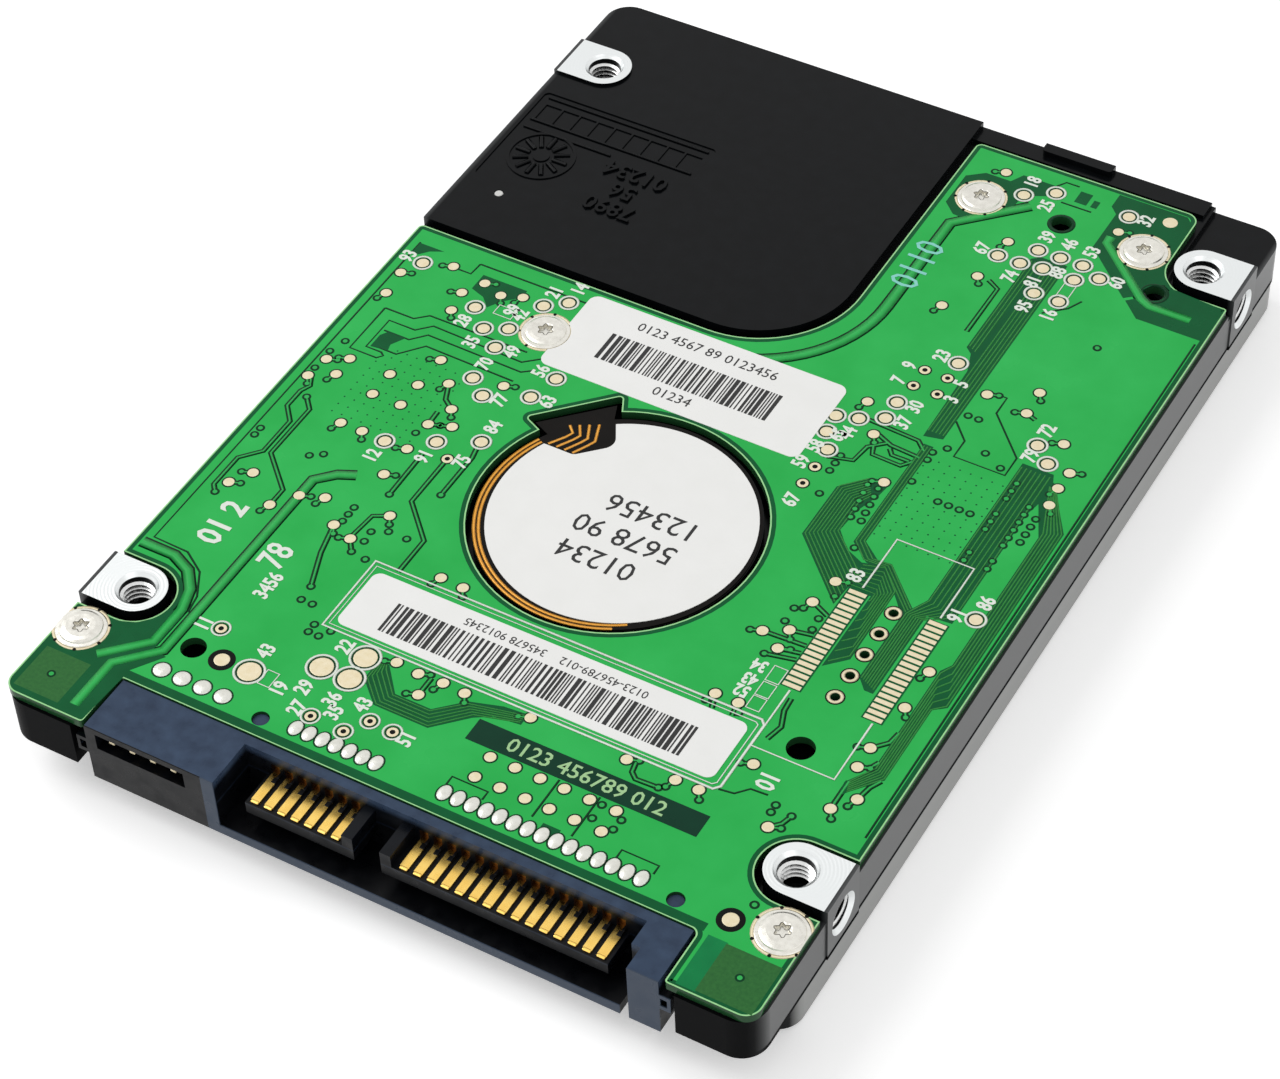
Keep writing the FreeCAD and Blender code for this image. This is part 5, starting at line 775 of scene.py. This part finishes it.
for count, (x, y) in enumerate(((13.2, 17.8), (13.2, 15.7), (18.2, 17.8), (18.3, 15.7))):
    numbers(ink, str(9 - 2 * count), x, y)
for count, y in enumerate((-18.9, -20.5, -21.9)):
    numbers(ink, str(34 + 9 * count), 18.3, y, size=1.7, turn=180)
numbers(ink, "01", 24.7, -29.2, size=2.3)
figures(ink, "01 2", -29.1, -26.2, 3.2, INK, turn=90, high=INK_HIGH, bold=0.08, narrow=0.9)
numbers(ink, "3456", -21.6, -30.4, size=1.9)
numbers(ink, "78", -22.9, -27.3, size=3.4)
# the label's frame, with its right corners cut, and the outline of the empty footprint
for wide, outline in (
        (0.26, [(-15.3, -31.9), (21.2, -31.9), (21.65, -31.4), (21.65, -24.3), (21.2, -23.85),
                (-15.3, -23.85)]),
        (0.12, [(-14.9, -31.5), (20.9, -31.5), (21.2, -31.2), (21.2, -24.5), (20.9, -24.3),
                (-14.9, -24.3)])):
    strokes(ink, [outline], wide, INK, high=INK_HIGH, closed=True)
strokes(ink, [[(21.7, -7.5), (21.7, -1.3), (28.8, -1.3), (28.8, -7.5)],
              [(21.7, -20.1), (21.7, -26.6), (29.1, -26.6), (29.1, -20.1)]], 0.2, INK, high=INK_HIGH)
for x, y, wide, long in ((20, -19.2, 0.6, 0.85), (20, -21, 0.6, 0.75), (20, -22.6, 0.6, 0.7),
                         (-15.9, -38.9, 0.55, 0.8), (-21.6, 7.1, 0.9, 0.6), (21.1, 32.8, 0.55, 0.9)):
    strokes(ink, [oblong(x - wide, x + wide, y - long, y + long)], 0.14, INK, high=INK_HIGH, closed=True)
piece("silk_print", ink, silk)

# a dark panel with light figures
deep_mask = finish("mask_on_dark_panel", "083F2B", "053323", 3.0, 0.3, specular=0.12)
panel, lettering = bmesh.new(), bmesh.new()
bar(panel, 1.4, 22.4, -36.7, -34.4, TOP, TOP + 0.018, soft=0.004)
piece("figure_panel", panel, deep_mask)
figures(lettering, "0123 456789 012", 11.9, -35.6, 2.0, TOP + 0.02, high=0.01, bold=0.02, narrow=1.02)
pale_mask = finish("mask_over_figures", "B9DFA8", "9CCB8E", 0.5, 0.35, specular=0.12)
piece("panel_figures", lettering, pale_mask)
# hatched ground in the front corners; the hatch is too fine to show, so a 0.3 mm grain stands for it
hatch = finish("mask_over_hatch", "3A7A3C", "235C2E", 0.3, 0.4, bump=0.02, specular=0.12)
patches = bmesh.new()
bar(patches, -33.9, -29.5, -49.1, -44.5, TOP, TOP + 0.01, soft=0.003)
bar(patches, 29.4, 34.2, -49.4, -44.5, TOP, TOP + 0.01, soft=0.003)
piece("ground_patches", patches, hatch)
# an inked inspection stamp in pale blue
stamp_ink = finish("stamp_ink", "9FE3D8", "6FCBBE", 0.3, 0.5)
stamp = bmesh.new()
figures(stamp, "0110", 8.0, 29.8, 3.9, TOP + 0.024, turn=90, high=0.01, narrow=0.85)
piece("stamp", stamp, stamp_ink)

# ---------------------------------------------------------------- chips under the board
# Moulded packages and small parts face the case and press on a foam pad. Their place is
# between the board and the casting.
ceramic_part = finish("chip_capacitor", "8A7358", "5F4C38", 0.3, 0.5)
foam = finish("cell_foam", "3A3B3C", "202122", 0.4, 0.9, bump=0.08)
dress(chip_epoxy, "controller_chip", "motor_driver_chip", "memory_chip")
dress(ceramic_part, "board_components")
dress(foam, "foam_pad")

# ---------------------------------------------------------------- connector
# The housing is moulded in a slate coloured glass filled plastic with a mottled skin, with painted
# shade on its lower faces and down in its openings. The contacts are stamped bronze with gold over nickel.
housing = finish("glass_filled_plastic", "43556E", "273246", 1.3, 0.34, bump=0.008, spread=0.12,
                 specular=0.14)
tree = housing.node_tree
shader = tree.nodes["Principled BSDF"]
tint = shader.inputs["Base Color"].links[0].from_socket
at_x, at_y, at_z = add(tree, "SeparateXYZ", {0: add(tree, "TexCoord").outputs["Object"]}).outputs
# painted shade: down in the openings and below the top little light comes back, so the skin there is near
# black
FRONT_Y, DEEP_Z, RAMP_LOW, RAMP_HIGH = -49.9 * MM, 6.2 * MM, 2.6, 8.9
height = add(tree, "MapRange", {"Value": at_z, "From Min": RAMP_LOW * MM, "From Max": RAMP_HIGH * MM})
ramp = add(tree, "ValToRGB", {0: height})
# height in mm and how much light comes back there
STOPS = [(2.6, 0.55), (3.5, 0.55), (3.65, 0), (5.15, 0), (5.3, 0.3), (6.25, 0.3), (6.4, 0), (7.9, 0.04),
         (8.5, 1)]
for index, (z, value) in enumerate(STOPS):
    stops = ramp.color_ramp.elements
    stop = stops[index] if index < 2 else stops.new(1.0)
    stop.position = (z - RAMP_LOW) / (RAMP_HIGH - RAMP_LOW)
    stop.color = (value, value, value, 1)
behind = add(tree, "Math", {0: at_y, 1: FRONT_Y}, operation="GREATER_THAN")
beneath = add(tree, "Math", {0: at_z, 1: DEEP_Z}, operation="LESS_THAN")
hidden = add(tree, "Math", {0: behind, 1: beneath}, operation="MULTIPLY")
lit = add(tree, "Math", {0: 1.0, 1: hidden}, operation="SUBTRACT")
share = add(tree, "Math", {0: ramp, 1: lit}, operation="MULTIPLY")
shaded = add(tree, "Mix", {"Factor": share, "A": linear("06070A"), "B": tint}, data_type="RGBA")
# the front face is near black across the jumper block and a paler slate along the rest of the front edge
JUMPERS_END = -15.0 * MM
front = add(tree, "Math", {0: at_y, 1: FRONT_Y}, operation="LESS_THAN")
jumpers = add(tree, "Math", {0: at_x, 1: JUMPERS_END}, operation="LESS_THAN")
front_face_tone = add(tree, "Mix", {"Factor": jumpers, "A": linear("3E4959"), "B": linear("08090C")}, data_type="RGBA")
faced = add(tree, "Mix", {"Factor": front, "A": shaded, "B": front_face_tone}, data_type="RGBA")
feed(shader, {"Base Color": faced})
dress(housing, "connector_housing")
gold = finish("gold_plate", "FFDD80", "EFBE58", 0.8, 0.26, metallic=1.0)
# the plating ends near the root, where the copper alloy shows
tree = gold.node_tree
shader = tree.nodes["Principled BSDF"]
ROOT_FROM, ROOT_TO = -45.9 * MM, -45.1 * MM
at_y = add(tree, "SeparateXYZ", {0: add(tree, "TexCoord").outputs["Object"]}).outputs["Y"]
root = add(tree, "MapRange", {"Value": at_y, "From Min": ROOT_FROM, "From Max": ROOT_TO})
two_toned = add(tree, "Mix", {"Factor": root, "A": shader.inputs["Base Color"].links[0].from_socket,
                         "B": linear("8E6A40")}, data_type="RGBA")
feed(shader, {"Base Color": two_toned})
dress(gold, "signal_contacts", "power_contacts")
dress(tinned, "jumper_pins")

# each contact has a rounded nose and, at its root, a moulded rib that holds it down; the ribs are near black,
# a painted shadow of the slots at the roots
rib_in_shade = finish("rib_in_shade", "0B0D11", "050608", 0.6, 0.4, specular=0.2)
HALF_WIDE, NOSE_Y, NOSE_Z = 0.4, (-48.62, -48.3), (6.41, 6.62)
RIB_WIDE, RIB_STEP, RIB_Y, RIB_Z = 0.42, 0.16, (-46.25, -45.7, -45.1), (6.45, 6.64)
noses, ribs = bmesh.new(), bmesh.new()
for name, count in (("signal_contacts", 7), ("power_contacts", 15)):
    low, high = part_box(name)
    for index in range(count):
        x = low.x / MM + HALF_WIDE + PIN_STEP * index
        bar(noses, x - 0.39, x + 0.39, *NOSE_Y, *NOSE_Z, soft=0.1)
        bar(ribs, x, x + RIB_WIDE, *RIB_Y[:2], *RIB_Z, soft=0.04)
        bar(ribs, x + RIB_STEP, x + RIB_WIDE, *RIB_Y[1:], *RIB_Z, soft=0.04)
piece("contact_noses", noses, gold)
piece("contact_ribs", ribs, rib_in_shade)

# ---------------------------------------------------------------- the motor's ribbon
# Black polyimide film with copper lines, glued to the motor. The lines run round beside
# the disc label and out at one corner.
dress(polyimide, "motor_flex")
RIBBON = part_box("motor_flex")[1].z / MM
copper_line = finish("copper_under_film", "FFBB4A", "EB9A2A", 0.8, 0.28, metallic=0.3)
SPIN_Y = -10.2
lines = bmesh.new()
for i, r in enumerate((11.7, 12.1)):
    strokes(lines, [ring(0, SPIN_Y, r, 60, math.radians(154), math.radians(150 - 6 * i))], 0.3, RIBBON,
            high=0.03)
for i in range(4):
    shift = 0.74 * i
    turn = [(-9.9 + 0.8 * i, -5), (-9 + shift, -3.6), (-8.7 + shift, -2.9), (-9.4 + shift, -2.2 + 0.42 * i)]
    strokes(lines, [turn], 0.27, RIBBON, high=0.03)
piece("ribbon_lines", lines, copper_line)

# ---------------------------------------------------------------- labels on the board side
# Three white labels: one seals the board to the case, one is on the board and one is a
# disc on the motor. They carry bars and plain figures only.
dress(label_paper, "motor_label", "seal_label", "board_label")
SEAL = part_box("seal_label")[1].z / MM
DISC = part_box("motor_label")[1].z / MM
printed = bmesh.new()
bars(printed, -11.7, 5.3, 5.8, 9.2, SEAL, seed=11)
figures(printed, "01234", -3.2, 4.6, 1.5, SEAL + 0.006)
figures(printed, "0123 4567 89 0123456", -3.2, 11.0, 1.5, SEAL + 0.006)
bars(printed, -11, 17.2, -30.3, -27.0, SEAL, seed=23)
figures(printed, "0123-456789-012    345678 9012345", 3.4, -26.0, 1.15, SEAL + 0.006, turn=180)
for row, text in enumerate(("01234", "5678 90", "123456")):
    figures(printed, text, 0.6 + 0.9 * row, -14.8 + 3.2 * row, 2.95, DISC + 0.006, turn=180)
piece("label_print", printed, black_print)

# ---------------------------------------------------------------- board screws
# Five thread forming screws with a six lobed socket and a wide washer face. Each clamps
# the board through a tinned ring, which earths it to the case.
SCREWS = [(8.9, 40.6), (25.01, 40.7), (-17.1, 6.6), (-32.6, -41.6), (32.6, -41.6)]
LOBES, LOOP = 6, 48
LAND_R, NOTCHES = 2.3, 7
heads, rings, notches, stars = bmesh.new(), bmesh.new(), bmesh.new(), bmesh.new()
# radius, lobe and height of each ring of points, from the socket's floor out to the washer's rim
HEAD = [(0.52, 0.12, 9.03), (0.62, 0.13, 9.33), (0.78, 0, 9.38), (1.25, 0, 9.39), (1.6, 0, 9.34),
        (1.8, 0, 9.24), (1.86, 0, 9.12), (2.1, 0, 9.1), (2.18, 0, 9.05), (2.18, 0, 8.99)]


def lobed(x, y, r, lobe, angle):
    """A point at an angle on a circle with six lobes."""
    r += lobe * math.cos(LOBES * angle)
    return x + r * math.cos(angle), y + r * math.sin(angle)


for x, y in SCREWS:
    made = bmesh.ops.create_circle(heads, cap_ends=True, radius=1, segments=LOOP)["verts"]
    way = [math.atan2(v.co.y, v.co.x) for v in made]
    for step, (r, lobe, z) in enumerate(HEAD):
        if step:
            border = dict.fromkeys(e for v in made for e in v.link_edges
                                   if e.other_vert(v) in made and (step == 1 or e.is_boundary))
            grown = bmesh.ops.extrude_edge_only(heads, edges=list(border))["geom"]
            made = [v for v in grown if isinstance(v, bmesh.types.BMVert)]
            way = [math.atan2(v.co.y - y, v.co.x - x) for v in made]
        for v, angle in zip(made, way):
            v.co = (*lobed(x, y, r, lobe, angle), z)
    r, lobe, z = HEAD[1]
    strokes(stars, [[lobed(x, y, r, lobe, math.tau * i / LOOP) for i in range(LOOP)]], 0.09, z + 0.005,
            high=0.012, closed=True)
    strokes(rings, [ring(x, y, LAND_R, 36)], 0.34, TOP, high=0.05, closed=True)
    # dark notches round the land start at another angle on each screw
    for nx, ny in ring(x, y, LAND_R + 0.06, NOTCHES, start=x):
        button(notches, nx, ny, 0.16, TOP + 0.02, 0.012, 10)
bmesh.ops.recalc_face_normals(heads, faces=heads.faces)
# the outer rings end at the board's edge
BOARD_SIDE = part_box("circuit_board")[1].x / MM
for bm in (rings, notches, heads):
    for side in (-1, 1):
        whole = list(bm.verts) + list(bm.edges) + list(bm.faces)
        cut = bmesh.ops.bisect_plane(bm, geom=whole, plane_co=(side * BOARD_SIDE, 0, 0),
                                     plane_no=(side, 0, 0), clear_outer=True)
        rims = [e for e in cut["geom_cut"] if isinstance(e, bmesh.types.BMEdge)]
        bmesh.ops.holes_fill(bm, edges=rims, sides=0)
screw_heads = piece("six_lobe_screws", heads, screw_plate)
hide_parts("board_screws")
piece("screw_lands", rings, tinned)
piece("screw_land_gaps", notches, hole_dark)
# a dark line round the rim of each socket, painted shade where its walls fall away
socket_rim_shade = finish("painted_socket_shade", "6E6A62", "45423C", 0.2, 0.4, metallic=0.8)
piece("socket_edges", stars, socket_rim_shade)

# ---------------------------------------------------------------- floor, light and camera
# A plain white floor, two soft lamps from above and an even white surround light the
# drive at a plain level. The camera looks down on its front right corner.
floor_bm = bmesh.new()
bmesh.ops.create_grid(floor_bm, x_segments=8, y_segments=8, size=3.0)
floor_mesh = bpy.data.meshes.new("floor")
floor_bm.to_mesh(floor_mesh)
floor_bm.free()
floor = bpy.data.objects.new("floor", floor_mesh)
floor.location.z = -0.0002
bpy.context.scene.collection.objects.link(floor)
# a white paper sweep; it glows a little for the camera, so that it stays white round the object
floor_white = finish("white_sweep", "FDFDFD", "FBFBFB", 50, 0.8, specular=0.1)
tree = floor_white.node_tree
GLOW, AMBIENT = 0.36, 0.6
seen = add(tree, "LightPath").outputs
looked_at = add(tree, "Math", {0: seen["Is Camera Ray"], 1: seen["Is Glossy Ray"]}, operation="MAXIMUM")
glow = add(tree, "Math", {0: looked_at, 1: GLOW}, operation="MULTIPLY")
feed(tree.nodes["Principled BSDF"], {"Emission Strength": glow, "Emission Color": (1, 1, 1, 1)})
floor_mesh.materials.append(floor_white)

world = bpy.data.worlds.new("studio")
bpy.context.scene.world = world
world.use_nodes = True
tree = world.node_tree
seen = add(tree, "LightPath").outputs
looked_at = add(tree, "Math", {0: seen["Is Camera Ray"], 1: seen["Is Glossy Ray"]}, operation="MAXIMUM")
shown = add(tree, "Math", {0: looked_at, 1: seen["Is Transmission Ray"]}, operation="MAXIMUM")
strength = add(tree, "MapRange", {"Value": shown, "To Min": AMBIENT, "To Max": 1.0})
feed(tree.nodes["Background"], {"Strength": strength, "Color": (1, 1, 1, 1)})

for name, spot, power in (("key", (-0.5, -0.05, 0.55), 1.9), ("fill", (0.5, -0.3, 0.45), 0.4)):
    lamp = bpy.data.lights.new(name, "AREA")
    lamp.energy = power
    lamp.size = 0.5
    holder = bpy.data.objects.new(name, lamp)
    holder.location = spot
    holder.rotation_euler = (-Vector(spot)).to_track_quat("-Z", "Y").to_euler()
    bpy.context.scene.collection.objects.link(holder)

lens = bpy.data.cameras.new("camera")
lens.lens = 99.0
lens.clip_start = 0.01
camera = bpy.data.objects.new("camera", lens)
eye = Vector((0.1095, -0.1826, 0.2217))
aim = Vector((-0.001675, -0.004107, 0))
tilt = Matrix.Rotation(math.radians(-2.77), 3, "Z")
camera.location = eye
camera.rotation_euler = ((aim - eye).to_track_quat("-Z", "Y").to_matrix() @ tilt).to_euler()
bpy.context.scene.collection.objects.link(camera)
bpy.context.scene.camera = camera
bpy.context.scene.view_settings.view_transform = "Standard"
